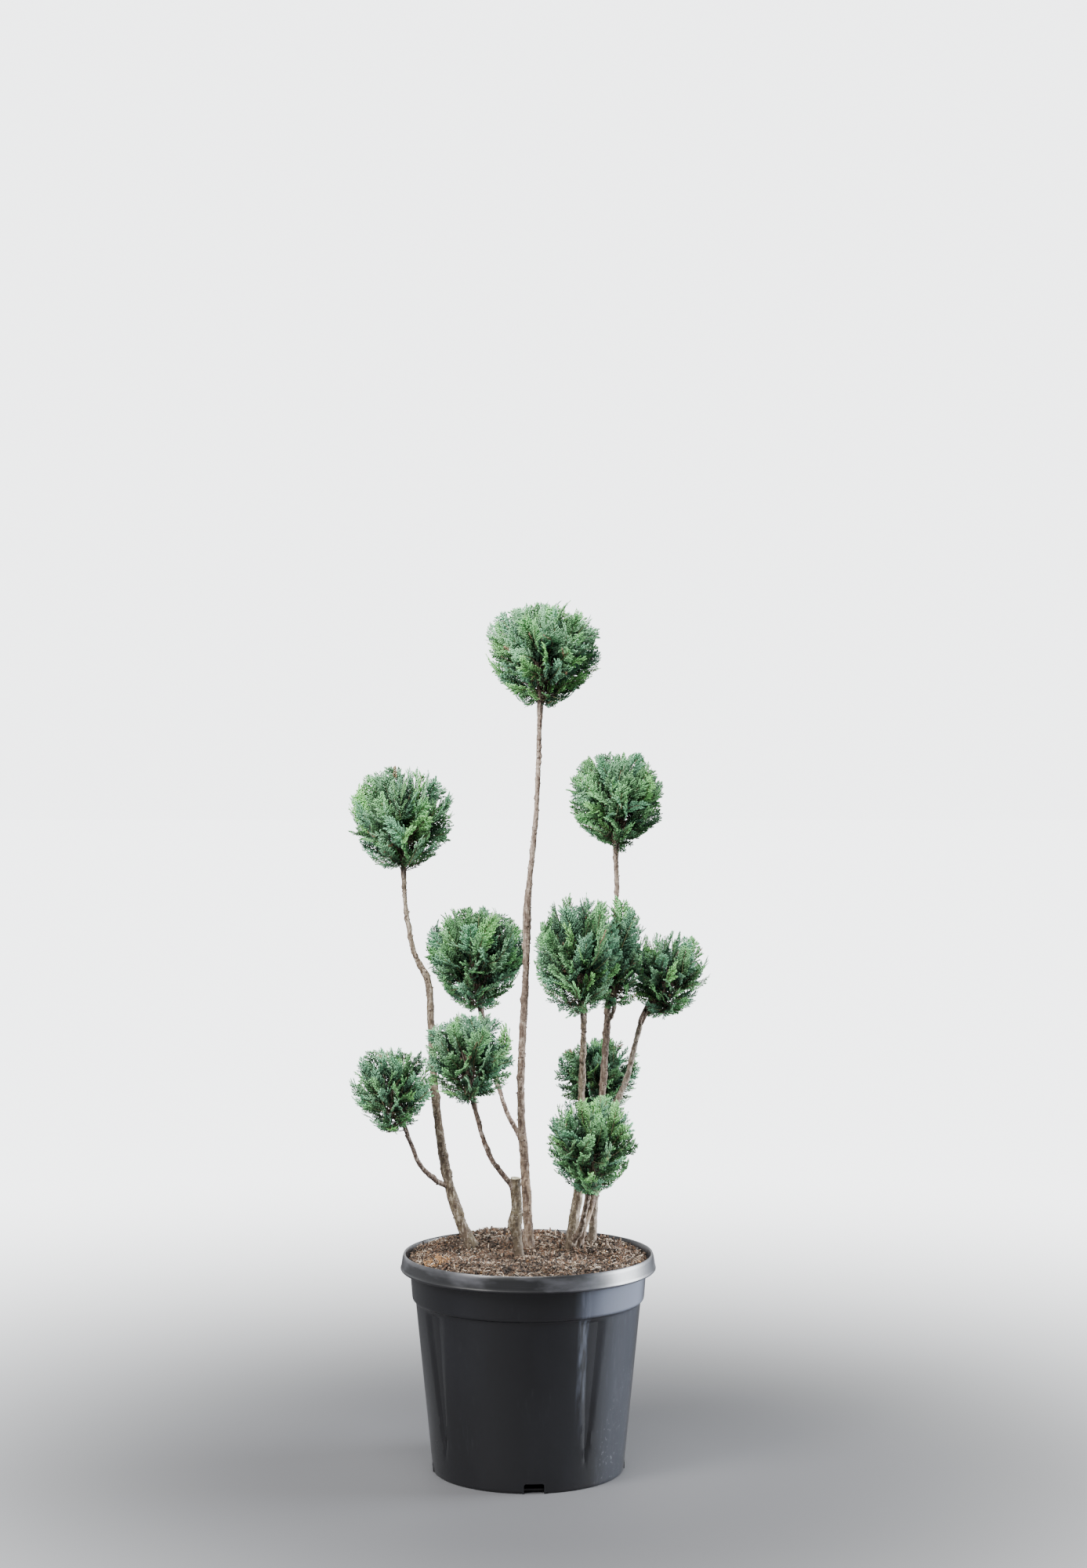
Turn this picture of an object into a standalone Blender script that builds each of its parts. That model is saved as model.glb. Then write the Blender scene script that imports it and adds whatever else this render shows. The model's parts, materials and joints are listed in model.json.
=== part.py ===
"""Clipped cypress with eleven leafy balls on bare stems, standing in a black nursery pot.

Metres, +Z up. The origin is the middle of the pot's flat underside, +X is the plant's right
and +Y its back, as seen from the front.
"""

import math
import random

import bmesh
import bpy
from mathutils import Matrix, Quaternion, Vector

MM = 0.001
GAP = 0.3 * MM
WELD = 0.01 * MM
HALVINGS = 30

# Pot
POT_STEPS = 40
POT_WALL = 2.6 * MM
FLOOR_THICKNESS = 4 * MM
FOOT_RADIUS = 131 * MM
FOOT_ROUNDING = 2 * MM
BODY_TOP_RADIUS = 154.8 * MM
BODY_TOP_HEIGHT = 232 * MM
BAND_BOTTOM_RADIUS = 159 * MM
BAND_BOTTOM_HEIGHT = 237 * MM
BAND_TOP_RADIUS = 162.5 * MM
COLLAR_RADIUS = 176 * MM
COLLAR_BOTTOM_HEIGHT = 275.5 * MM
COLLAR_UNDERCUT = 0.5 * MM
MOUTH_RADIUS = 168 * MM
MOUTH_SHOULDER_DROP = 3 * MM
POT_HEIGHT = 297 * MM
RIM_ROUNDING = 1.6 * MM

# Four tapered flutes pressed into the pot's body, and the notches at its foot
FLUTES = 4
FLUTE_DEPTH = 3 * MM
FLUTE_BOTTOM = 30 * MM
FLUTE_TOP = 226 * MM
FLUTE_TURN = math.radians(-56)
NOTCH_TURN = math.radians(-86.3)
NOTCH_WIDTH = 27 * MM
NOTCH_HEIGHT = 13.5 * MM
NOTCH_ROUNDING = 3 * MM
NOTCH_CUTTER_LENGTH = 24 * MM

# Bark mulch in the pot
SOIL_LEVEL = 295.5 * MM
SOIL_EDGE_LEVEL = 287 * MM
SOIL_FLAT_RADIUS = 128 * MM
SOIL_EDGE_INSET = 4.5 * MM

# Limbs: each station is height, right, back, thickness in millimetres. A trunk starts at the
# mulch, and a bough starts inside the limb that carries it.
RING_SPACING = 32 * MM
FLARE = 0.22
FLARE_HEIGHT = 12 * MM
FLARE_RINGS = (0.2, 0.5)
LIMB_ROUNDNESS = 2
STEM_ROUNDNESS = 1
TRUNKS = {
    "trunk_left": [
        (296, -78, 35, 17.5), (330, -93, 35, 16), (395, -113, 36, 14.6), (490, -128, 38, 12),
        (612, -136, 38, 10.9), (666, -140, 40, 10.9), (705, -159, 40, 8), (770, -171, 44, 6.8),
        (814, -174, 45, 6.5),
    ],
    "trunk_stub": [
        (296, -12, -40, 12), (324, -15, -40, 13.6), (344, -17, -40, 18.8), (366, -16, -40, 14.6),
        (404, -17, -40, 15),
    ],
    "trunk_centre": [
        (296, 1, 30, 15), (361, -2, 30, 14), (426, -6, 30, 13), (481, -10, 32, 12.3),
        (546, -10, 33, 11.3), (690, -3, 34, 10.6), (766, -2, 32, 12.6), (790, 0, 32, 9.6),
        (903, 11, 30, 7.6), (1042, 16, 30, 7.4),
    ],
    "trunk_right_front": [
        (296, 57, 17, 15), (342, 64, 19, 14.5), (386, 70.5, 18, 12.5), (441, 73, 11, 10.5),
        (508, 73.5, 0, 9.5), (586, 75.5, -20, 9), (625, 76, -32, 8.6),
    ],
    "trunk_right_middle": [
        (296, 69, 36, 12.6), (330, 78, 36, 12.4), (361, 88.5, 37, 12), (437, 96, 41, 11.3),
        (507, 103, 46, 10.5), (620, 111, 58, 10.2), (697, 117, 70, 8.5), (773, 124, 83, 7.2),
        (845, 123, 90, 7),
    ],
    "trunk_right_back": [
        (296, 89, 72, 11.5), (363, 94, 68, 10.5), (433, 105, 60, 9.8), (488, 120.5, 56, 9.2),
        (525, 136, 54, 8.6), (572, 148, 52, 8), (612.5, 158, 50, 7.4),
    ],
}
BOUGHS = {
    "bough_left_low": ("trunk_left", [
        (380, -109, 36, 8), (390, -127, 25, 7.6), (416, -150, 6, 7), (441, -159, -6, 6.6),
        (464.5, -168, -15, 6),
    ]),
    "bough_middle_front": ("trunk_stub", [
        (384, -16, -40, 8.6), (396, -23, -43, 8), (411, -34, -50, 7.6), (433, -49, -60, 7.4),
        (464, -61, -68, 7.2), (511, -73, -80, 7),
    ]),
    "bough_middle_back": ("trunk_centre", [
        (438, -7, 31, 7.5), (455, -15, 37, 7.4), (480, -29, 46, 7.2), (508, -39, 54, 7.1),
        (559, -52.5, 67, 7), (618, -67, 80, 7),
    ]),
    "bough_right_inner": ("trunk_right_middle", [
        (596, 109, 56, 7), (610, 112, 45, 6.6), (626, 118, 22, 6.2), (638, 120, 11, 6),
    ]),
    "bough_right_back": ("trunk_right_middle", [
        (414, 94, 40, 7), (428, 92, 54, 6.8), (450, 95, 82, 6.5), (473, 98, 101, 6.3),
    ]),
    "bough_right_low": ("trunk_right_front", [
        (306, 59, 17, 9.5), (325, 71, 2, 9.2), (350, 76.5, -16, 8.8), (384, 82, -42, 7.6),
    ]),
}

# Balls of foliage: the limb whose tip carries it, then the middle (right, back, height) and
# the half width, half depth and half height in millimetres
BALLS = {
    "foliage_top": ("trunk_centre", (20.5, 30, 1119), (78, 76, 74)),
    "foliage_left_high": ("trunk_left", (-177.5, 45, 888.5), (73, 71, 72)),
    "foliage_right_high": ("trunk_right_middle", (124, 90, 915), (67.5, 66, 68)),
    "foliage_middle_back": ("bough_middle_back", (-74, 85, 692), (69.5, 68, 73.5)),
    "foliage_middle_front": ("bough_middle_front", (-79.5, -85, 572.5), (61, 60, 60.5)),
    "foliage_left_low": ("bough_left_low", (-187.5, -28, 522.5), (56.5, 56, 58.5)),
    "foliage_right_front": ("trunk_right_front", (68, -48, 706.5), (58, 54, 83)),
    "foliage_right_inner": ("bough_right_inner", (117, 12, 704), (45, 44, 77)),
    "foliage_right_outer": ("trunk_right_back", (192.5, 50, 674.5), (57.5, 56, 60.5)),
    "foliage_right_back": ("bough_right_back", (99.5, 115, 523), (60.5, 55, 53)),
    "foliage_right_low": ("bough_right_low", (86, -60, 449), (61, 58, 68)),
}

# Shape of a ball. Shares are of the way from its middle, 0, to its skin, 1.
EGG = 0.08
FULLNESS = 2.5
MOST_SHARE = 1.005
BALL_MARGIN = 0.04
LIMB_MARGIN = 1.5 * MM
CORE_SHARE = 0.77
CORE_LUMPS = 0.08
CORE_ROUNDNESS = 2
SEED = 11

# Stem of a ball and the twigs at its fork
FORK_HEIGHT = 9 * MM
STEM_TAPER = (1, 0.85, 0.7, 0.5)
TWIGS = 3
TWIG_THICKNESS = 3 * MM
TWIG_TAPER = 0.5
TWIG_TURN_CHANCE = 0.2
TWIG_DROOP = 0.35
TWIG_END_SHARE = 0.5
TWIG_SINK = 2 * MM

# Fan-shaped sprays that stand out of the core. Lengths are shares of the spray's own length.
SPRAYS = 18
SPRAY_TURN_CHANCE = 0.25
SPRAY_TRIES = (1.0, 0.86, 0.74)
SPRAY_TIP_LEAST = 0.95
HEART_DROP = 0.45
SPRAY_ROOT_SHARE = 0.36
SPRAY_TWIST = math.radians(28)
SPRAY_FAN = math.radians(96)
SPRAY_TEETH = 5
SPRAY_REACH = 0.56
SPRAY_SHOULDER = 0.14
SPRAY_TOOTH_LEAST = 0.93
SPRAY_NOTCH = 0.68
SPRAY_ROOT_WIDTH = 0.06
SPRAY_THICKNESS_SHARE = 0.05
SPRAY_CUP_SHARE = 0.05
FULL_REACH = ((0, 0, 1), (1, 0, 0), (-1, 0, 0))

# Colours
PLASTIC = (0.018, 0.020, 0.024)
MULCH = (0.115, 0.062, 0.040)
BARK = (0.235, 0.165, 0.120)
LEAF = (0.060, 0.165, 0.085)
PLASTIC_ROUGHNESS = 0.45
MULCH_ROUGHNESS = 0.95
BARK_ROUGHNESS = 0.85
LEAF_ROUGHNESS = 0.7
SHARP_ANGLE = math.radians(40)


def clear_scene():
    for old in list(bpy.data.objects):
        bpy.data.objects.remove(old, do_unlink=True)


def new_collection(name):
    collection = bpy.data.collections.new(name)
    bpy.context.scene.collection.children.link(collection)
    return collection


def put(name, mesh, collection):
    """A new object of this mesh in the collection."""
    made = bpy.data.objects.new(name, mesh)
    collection.objects.link(made)
    return made


def mesh_from(bm, name):
    mesh = bpy.data.meshes.new(name)
    bm.to_mesh(mesh)
    bm.free()
    return mesh


def evaluated_mesh(made):
    """The object's mesh with its modifiers, or its curve's bevel, applied."""
    bpy.context.view_layer.update()
    graph = bpy.context.evaluated_depsgraph_get()
    return bpy.data.meshes.new_from_object(made.evaluated_get(graph))


def finish(made, colour, roughness):
    """Give the piece a material of its own."""
    material = bpy.data.materials.new(made.name + "_finish")
    material.use_nodes = True
    shader = material.node_tree.nodes["Principled BSDF"]
    shader.inputs["Base Color"].default_value = (*colour, 1)
    shader.inputs["Roughness"].default_value = roughness
    shader.inputs["Metallic"].default_value = 0
    made.data.materials.clear()
    made.data.materials.append(material)


def shade_round(mesh):
    mesh.shade_smooth()
    mesh.set_sharp_from_angle(angle=SHARP_ANGLE)


# Pot and mulch


def pot_outer_profile():
    """(radius, height) down the outside, from the rim to the underside's middle."""
    return [
        (COLLAR_RADIUS - RIM_ROUNDING, POT_HEIGHT),
        (COLLAR_RADIUS, POT_HEIGHT - RIM_ROUNDING),
        (COLLAR_RADIUS, COLLAR_BOTTOM_HEIGHT),
        (BAND_TOP_RADIUS, COLLAR_BOTTOM_HEIGHT - COLLAR_UNDERCUT),
        (BAND_BOTTOM_RADIUS, BAND_BOTTOM_HEIGHT),
        (BODY_TOP_RADIUS, BODY_TOP_HEIGHT),
        (body_radius(FLUTE_TOP), FLUTE_TOP),
        (body_radius(FLUTE_BOTTOM), FLUTE_BOTTOM),
        (body_radius(FOOT_ROUNDING), FOOT_ROUNDING),
        (FOOT_RADIUS - FOOT_ROUNDING, 0),
        (0, 0),
    ]


def pot_inner_profile(inset):
    """(radius, height) up the inside, this far in from the wall's outer face."""
    return [
        (body_radius(FLOOR_THICKNESS) - inset, FLOOR_THICKNESS),
        (body_radius(FLUTE_BOTTOM) - inset, FLUTE_BOTTOM),
        (body_radius(FLUTE_TOP) - inset, FLUTE_TOP),
        (BODY_TOP_RADIUS - inset, BODY_TOP_HEIGHT),
        (BAND_BOTTOM_RADIUS - inset, BAND_BOTTOM_HEIGHT + POT_WALL / 2),
        (BAND_TOP_RADIUS - inset, COLLAR_BOTTOM_HEIGHT - POT_WALL * 2),
    ]


def body_radius(height):
    """The outer radius of the tapered body at a height above the ground."""
    return FOOT_RADIUS + (BODY_TOP_RADIUS - FOOT_RADIUS) * height / BODY_TOP_HEIGHT


def press_flutes(mesh):
    """Press the tapered flutes into every point of a turned mesh that lies on a flute's middle.

    The faces are then cut along their shorter diagonals, so that pot and mulch keep one shape.
    """
    step = 2 * math.pi / POT_STEPS
    for vertex in mesh.vertices:
        turn = math.atan2(vertex.co.y, vertex.co.x) - FLUTE_TURN
        off = (turn + math.pi / FLUTES) % (2 * math.pi / FLUTES) - math.pi / FLUTES
        radius = math.hypot(vertex.co.x, vertex.co.y)
        on_wall = FLUTE_BOTTOM < vertex.co.z < FLUTE_TOP + WELD and radius > FOOT_RADIUS
        if abs(off) < step / 4 and on_wall:
            vertex.co.x *= 1 - FLUTE_DEPTH / radius
            vertex.co.y *= 1 - FLUTE_DEPTH / radius
    bm = bmesh.new()
    bm.from_mesh(mesh)
    bmesh.ops.triangulate(bm, faces=bm.faces, quad_method="SHORT_EDGE")
    bm.to_mesh(mesh)
    bm.free()


def turned_mesh(name, profile, collection):
    """A profile of (radius, height) at +X turned into a closed mesh by a Screw modifier."""
    bm = bmesh.new()
    rows = [bm.verts.new((radius, 0, height)) for radius, height in profile]
    for first, second in zip(rows, rows[1:]):
        bm.edges.new((first, second))
    guide = put(name + "_profile", mesh_from(bm, name + "_profile"), collection)
    screw = guide.modifiers.new("Turn", "SCREW")
    screw.steps = POT_STEPS
    screw.render_steps = POT_STEPS
    screw.use_merge_vertices = True
    screw.merge_threshold = WELD
    mesh = evaluated_mesh(guide)
    bpy.data.objects.remove(guide, do_unlink=True)
    mesh.name = name
    mesh.transform(Matrix.Rotation(FLUTE_TURN, 4, "Z"))
    press_flutes(mesh)
    return mesh


def make_notch_cutter(index, cutters):
    """A block with rounded corners that opens one drainage notch at the pot's foot."""
    bm = bmesh.new()
    bmesh.ops.create_cube(bm, size=1)
    size = (NOTCH_CUTTER_LENGTH, NOTCH_WIDTH, 2 * NOTCH_HEIGHT)
    bmesh.ops.scale(bm, vec=size, verts=bm.verts)
    bmesh.ops.translate(bm, vec=(FOOT_RADIUS, 0, 0), verts=bm.verts)
    along = [edge for edge in bm.edges
             if abs(edge.verts[0].co.x - edge.verts[1].co.x) > NOTCH_CUTTER_LENGTH / 2]
    bmesh.ops.bevel(bm, geom=along, offset=NOTCH_ROUNDING, segments=2, profile=0.5,
                    affect="EDGES", material=-1)
    turn = NOTCH_TURN + index * 2 * math.pi / FLUTES
    bmesh.ops.rotate(bm, matrix=Matrix.Rotation(turn, 3, "Z"), verts=bm.verts)
    name = f"notch_cutter_{index + 1}"
    cutter = put(name, mesh_from(bm, name), cutters)
    cutter.hide_render = True
    cutter.display_type = "WIRE"
    return cutter


def make_pot(parts, cutters):
    inner = [
        (0, FLOOR_THICKNESS),
        *pot_inner_profile(POT_WALL),
        (MOUTH_RADIUS, POT_HEIGHT - MOUTH_SHOULDER_DROP),
        (MOUTH_RADIUS + RIM_ROUNDING, POT_HEIGHT),
    ]
    pot = put("pot", turned_mesh("pot", inner + pot_outer_profile(), cutters), parts)
    shade_round(pot.data)
    for index in range(FLUTES):
        cut = pot.modifiers.new(f"Notch {index + 1}", "BOOLEAN")
        cut.operation = "DIFFERENCE"
        cut.solver = "EXACT"
        cut.object = make_notch_cutter(index, cutters)
    finish(pot, PLASTIC, PLASTIC_ROUGHNESS)


def make_mulch(parts, cutters):
    """The root ball and its mulch as one plain filling, clear of the pot all round."""
    wall = [ring for ring in pot_inner_profile(POT_WALL + GAP)
            if ring[1] < BODY_TOP_HEIGHT + WELD or ring[1] > BAND_BOTTOM_HEIGHT + POT_WALL]
    wall[0] = (wall[0][0], FLOOR_THICKNESS + GAP)
    top = [
        (0, SOIL_LEVEL),
        (SOIL_FLAT_RADIUS, SOIL_LEVEL),
        (MOUTH_RADIUS - SOIL_EDGE_INSET, SOIL_EDGE_LEVEL),
    ]
    outline = top + wall[::-1] + [(0, FLOOR_THICKNESS + GAP)]
    mulch = put("mulch", turned_mesh("mulch", outline, cutters), parts)
    shade_round(mulch.data)
    finish(mulch, MULCH, MULCH_ROUGHNESS)


# Limbs


def smooth_path(stations):
    """Points and radii along one smooth curve through the stations."""
    points = [Vector((right, back, height)) * MM for height, right, back, _ in stations]
    radii = [thickness * MM / 2 for *_, thickness in stations]
    last = len(points) - 1
    headings = []
    for index, point in enumerate(points):
        before = points[max(index - 1, 0)]
        after = points[min(index + 1, last)]
        headings.append((after - before) / ((after - point).length + (point - before).length))
    path = []
    for index in range(last):
        start, end = points[index], points[index + 1]
        length = (end - start).length
        pieces = max(1, round(length / RING_SPACING))
        for piece in range(pieces):
            t = piece / pieces
            place = (
                start * (1 + 2 * t) * (1 - t) ** 2
                + headings[index] * length * t * (1 - t) ** 2
                + end * t * t * (3 - 2 * t)
                + headings[index + 1] * length * t * t * (t - 1)
            )
            path.append((place, radii[index] + (radii[index + 1] - radii[index]) * t))
    path.append((points[last], radii[last]))
    return path


def rooted_path(stations):
    """A trunk's path, flared at the mulch and carried a little way under it, to be cut flat."""
    path = smooth_path(stations)
    foot = path[0][0]
    path[1:1] = [(foot + (path[1][0] - foot) * share, path[0][1]) for share in FLARE_RINGS]
    under = foot - (path[1][0] - foot).normalized() * FLARE_HEIGHT
    path.insert(0, (under, path[0][1]))
    return [(place, radius * (1 + FLARE * math.exp(-max(place.z - SOIL_LEVEL, 0) / FLARE_HEIGHT)))
            for place, radius in path]


def tube_mesh(name, path, roundness, grow=0.0):
    """A tapering tube with closed ends, from a curve whose points carry the radius."""
    curve = bpy.data.curves.new(name, "CURVE")
    curve.dimensions = "3D"
    curve.bevel_depth = 1
    curve.bevel_resolution = roundness
    curve.use_fill_caps = True
    spline = curve.splines.new("POLY")
    spline.points.add(len(path) - 1)
    for point, (place, radius) in zip(spline.points, path):
        point.co = (*place, 1)
        point.radius = radius + grow
    guide = put(name + "_guide", curve, bpy.context.scene.collection)
    mesh = evaluated_mesh(guide)
    bpy.data.objects.remove(guide, do_unlink=True)
    bpy.data.curves.remove(curve)
    bm = bmesh.new()
    bm.from_mesh(mesh)
    bmesh.ops.remove_doubles(bm, verts=bm.verts, dist=WELD)
    bmesh.ops.recalc_face_normals(bm, faces=bm.faces)
    bm.to_mesh(mesh)
    bm.free()
    mesh.name = name
    return mesh


def cut_flat(mesh, height):
    """Cut a trunk off level, 0.3 mm above the mulch, and close the cut."""
    bm = bmesh.new()
    bm.from_mesh(mesh)
    bmesh.ops.bisect_plane(bm, geom=[*bm.verts, *bm.edges, *bm.faces], dist=WELD,
                           plane_co=(0, 0, height), plane_no=(0, 0, 1), clear_inner=True)
    open_edges = [edge for edge in bm.edges if edge.is_boundary]
    bmesh.ops.holes_fill(bm, edges=open_edges, sides=0)
    bmesh.ops.recalc_face_normals(bm, faces=bm.faces)
    bm.to_mesh(mesh)
    bm.free()


def make_trunks(parts):
    paths = {}
    for name, stations in TRUNKS.items():
        paths[name] = rooted_path(stations)
        trunk = put(name, tube_mesh(name, paths[name], LIMB_ROUNDNESS), parts)
        cut_flat(trunk.data, SOIL_LEVEL + GAP)
        shade_round(trunk.data)
        finish(trunk, BARK, BARK_ROUGHNESS)
    return paths


def make_boughs(parts, cutters, paths):
    """Each bough is cut by its carrier, a little enlarged, so that it is seated 0.3 mm clear."""
    for name, (carrier, stations) in BOUGHS.items():
        paths[name] = smooth_path(stations)
        bough = put(name, tube_mesh(name, paths[name], LIMB_ROUNDNESS), parts)
        shade_round(bough.data)
        seat_mesh = tube_mesh(name + "_seat", paths[carrier], LIMB_ROUNDNESS, GAP)
        seat = put(name + "_seat", seat_mesh, cutters)
        seat.hide_render = True
        seat.display_type = "WIRE"
        cut = bough.modifiers.new("Seat", "BOOLEAN")
        cut.operation = "DIFFERENCE"
        cut.solver = "EXACT"
        cut.object = seat
        finish(bough, BARK, BARK_ROUGHNESS)


# Foliage


def share_out(ball, point):
    """How far out a point lies in a ball's full, egg-shaped space: 0 in the middle, 1 on the skin."""
    _, middle, halves = BALLS[ball]
    offset = point / MM - Vector(middle)
    up = offset.z / halves[2]
    out = math.hypot(offset.x / halves[0], offset.y / halves[1]) / (1 + EGG * max(-1, min(1, up)))
    return (out ** FULLNESS + abs(up) ** FULLNESS) ** (1 / FULLNESS)


def on_ray(ball, direction, share):
    """The point at this share of the way to the ball's skin, along a direction from its middle."""
    middle = Vector(BALLS[ball][1]) * MM
    near = 0.0
    far = 4 * max(BALLS[ball][2]) * MM
    for _ in range(HALVINGS):
        half = (near + far) / 2
        if share_out(ball, middle + direction * half) < share:
            near = half
        else:
            far = half
    return middle + direction * near


def in_own_space(ball, point):
    """Whether a point is inside the ball and well nearer to its middle than to another's."""
    own = share_out(ball, point)
    others = (share_out(other, point) for other in BALLS if other != ball)
    return own < MOST_SHARE and own + BALL_MARGIN < min(others)


def off_limbs(point, paths):
    """Whether a point is clear of every limb."""
    for path in paths.values():
        for (start, first), (end, second) in zip(path, path[1:]):
            along = end - start
            t = max(0, min(1, (point - start).dot(along) / along.length_squared))
            radius = first + (second - first) * t
            if (point - start - along * t).length < radius + LIMB_MARGIN:
                return False
    return True


def spray_directions(chance):
    """Directions spread evenly over a ball, each nudged a little, and a few turned to its furthest tips."""
    golden_turn = math.pi * (3 - math.sqrt(5))
    directions = []
    for index in range(SPRAYS):
        up = 1 - (2 * index + 1) / SPRAYS
        turn = index * golden_turn + chance.uniform(-SPRAY_TURN_CHANCE, SPRAY_TURN_CHANCE)
        across = math.sqrt(1 - up * up)
        directions.append(Vector((across * math.cos(turn), across * math.sin(turn), up)))
    for furthest in FULL_REACH:
        nearest = max(range(SPRAYS), key=lambda index: directions[index].dot(Vector(furthest)))
        directions[nearest] = Vector(furthest)
    return directions


def core_mesh(ball, chance):
    """The dense inside of a ball: a lumpy closed form that twigs and sprays stand out of."""
    bm = bmesh.new()
    bmesh.ops.create_icosphere(bm, subdivisions=CORE_ROUNDNESS, radius=1)
    for vertex in bm.verts:
        direction = vertex.co.normalized()
        share = CORE_SHARE * (1 + chance.uniform(-CORE_LUMPS, CORE_LUMPS))
        vertex.co = on_ray(ball, direction, share)
        while not in_own_space(ball, vertex.co):
            share -= BALL_MARGIN / 2
            vertex.co = on_ray(ball, direction, share)
    return mesh_from(bm, ball)


def twig_mesh(name, start, end):
    """A three-sided tapering twig."""
    bm = bmesh.new()
    bmesh.ops.create_cone(bm, cap_ends=True, segments=3, radius1=TWIG_THICKNESS / 2,
                          radius2=TWIG_THICKNESS / 2 * TWIG_TAPER, depth=(end - start).length)
    turn = (end - start).to_track_quat("Z", "Y")
    bmesh.ops.transform(bm, matrix=Matrix.LocRotScale((start + end) / 2, turn, None), verts=bm.verts)
    return mesh_from(bm, name)


def spray_rim(ball, hub, axis, across, length, share, chance):
    """The toothed rim of a fan-shaped spray: its teeth reach for the ball's skin."""
    rim = []
    for index in range(2 * SPRAY_TEETH - 1):
        turn = SPRAY_FAN * (index / (SPRAY_TEETH - 1) - 1)
        heading = axis * math.cos(turn) + across * math.sin(turn)
        reach = length * (SPRAY_REACH - SPRAY_SHOULDER * abs(turn) / SPRAY_FAN)
        limit = share * chance.uniform(SPRAY_TOOTH_LEAST, 1)
        while share_out(ball, hub + heading * reach) > limit:
            reach -= MM
        rim.append(hub + heading * reach * (SPRAY_NOTCH if index % 2 else 1))
    root = hub - axis * length / 2
    beside = across * length * SPRAY_ROOT_WIDTH
    return rim + [root + beside, root - beside]


def spray_mesh(ball, name, direction, share, chance, paths):
    """One spray that points away from the ball's heart, or None where it has no room."""
    _, middle, halves = BALLS[ball]
    heart = Vector(middle) * MM - Vector((0, 0, HEART_DROP * halves[2] * MM))
    tip = on_ray(ball, direction, share)
    axis = (tip - heart).normalized()
    root = tip
    while share_out(ball, root) > SPRAY_ROOT_SHARE and (tip - root).length < (tip - heart).length:
        root = root - axis * MM
    length = (tip - root).length
    side = axis.cross(Vector((0, 0, 1)))
    if side.length < WELD:
        side = Vector((0, 1, 0))
    twist = Quaternion(axis, chance.uniform(-SPRAY_TWIST, SPRAY_TWIST))
    flat = (twist @ side.normalized()).normalized()
    across = axis.cross(flat).normalized()
    hub = (tip + root) / 2
    rim = spray_rim(ball, hub, axis, across, length, share, chance)
    front = hub + flat * length * (SPRAY_CUP_SHARE + SPRAY_THICKNESS_SHARE / 2)
    back = hub + flat * length * (SPRAY_CUP_SHARE - SPRAY_THICKNESS_SHARE / 2)
    for point in [front, *rim]:
        if not in_own_space(ball, point) or not off_limbs(point, paths):
            return None
    bm = bmesh.new()
    edge = [bm.verts.new(point) for point in rim]
    front_hub = bm.verts.new(front)
    back_hub = bm.verts.new(back)
    for first, second in zip(edge, edge[1:] + edge[:1]):
        bm.faces.new((first, second, front_hub))
        bm.faces.new((second, first, back_hub))
    bmesh.ops.recalc_face_normals(bm, faces=bm.faces)
    return mesh_from(bm, name)


def signed_volume(body):
    """Six times the volume within a body's triangles, and less than nothing for a hollow."""
    corners = ([corner.co for corner in face.verts] for face in body)
    return sum(first.dot(second.cross(third)) for first, second, third in corners)


def keep_main_body(mesh):
    """Drop loose scraps and fill sealed hollows: only the body with the most volume stays."""
    bm = bmesh.new()
    bm.from_mesh(mesh)
    bmesh.ops.triangulate(bm, faces=bm.faces)
    left = set(bm.faces)
    bodies = []
    while left:
        body = set()
        waiting = [left.pop()]
        while waiting:
            face = waiting.pop()
            body.add(face)
            near = {other for edge in face.edges for other in edge.link_faces} & left
            left -= near
            waiting.extend(near)
        bodies.append(body)
    largest = max(bodies, key=signed_volume)
    rest = [face for face in bm.faces if face not in largest]
    bmesh.ops.delete(bm, geom=rest, context="FACES")
    bm.to_mesh(mesh)
    bm.free()
    return len(bodies) - 1


def put_stem(ball, limb, fusing, chance):
    """The ball's stem, which goes on from its limb's tip, and the twigs that fork from it."""
    tip, tip_radius = limb[-1]
    heading = (tip - limb[-2][0]).normalized()
    middle = Vector(BALLS[ball][1]) * MM
    start = tip + heading * GAP
    fork = start + heading * FORK_HEIGHT
    places = (start, fork, (fork * 2 + middle) / 3, middle)
    path = [(place, tip_radius * share) for place, share in zip(places, STEM_TAPER)]
    put("stem", tube_mesh("stem", path, STEM_ROUNDNESS), fusing)
    for index in range(TWIGS):
        nudge = chance.uniform(-TWIG_TURN_CHANCE, TWIG_TURN_CHANCE)
        turn = 2 * math.pi * (index + nudge) / TWIGS
        outward = Vector((math.cos(turn), math.sin(turn), -TWIG_DROOP)).normalized()
        end = on_ray(ball, outward, TWIG_END_SHARE)
        put(f"twig_{index}", twig_mesh("twig", fork - heading * TWIG_SINK, end), fusing)


def put_sprays(ball, fusing, chance, paths):
    """The ball's sprays. One that finds no room is tried again shorter, then left out."""
    kept = 0
    for index, direction in enumerate(spray_directions(chance)):
        least = 1 if tuple(direction) in FULL_REACH else SPRAY_TIP_LEAST
        for share in SPRAY_TRIES:
            reach = share * chance.uniform(least, 1)
            spray = spray_mesh(ball, f"spray_{index}", direction, reach, chance, paths)
            if spray:
                put(f"spray_{index}", spray, fusing)
                kept += 1
                break
    return kept


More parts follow.
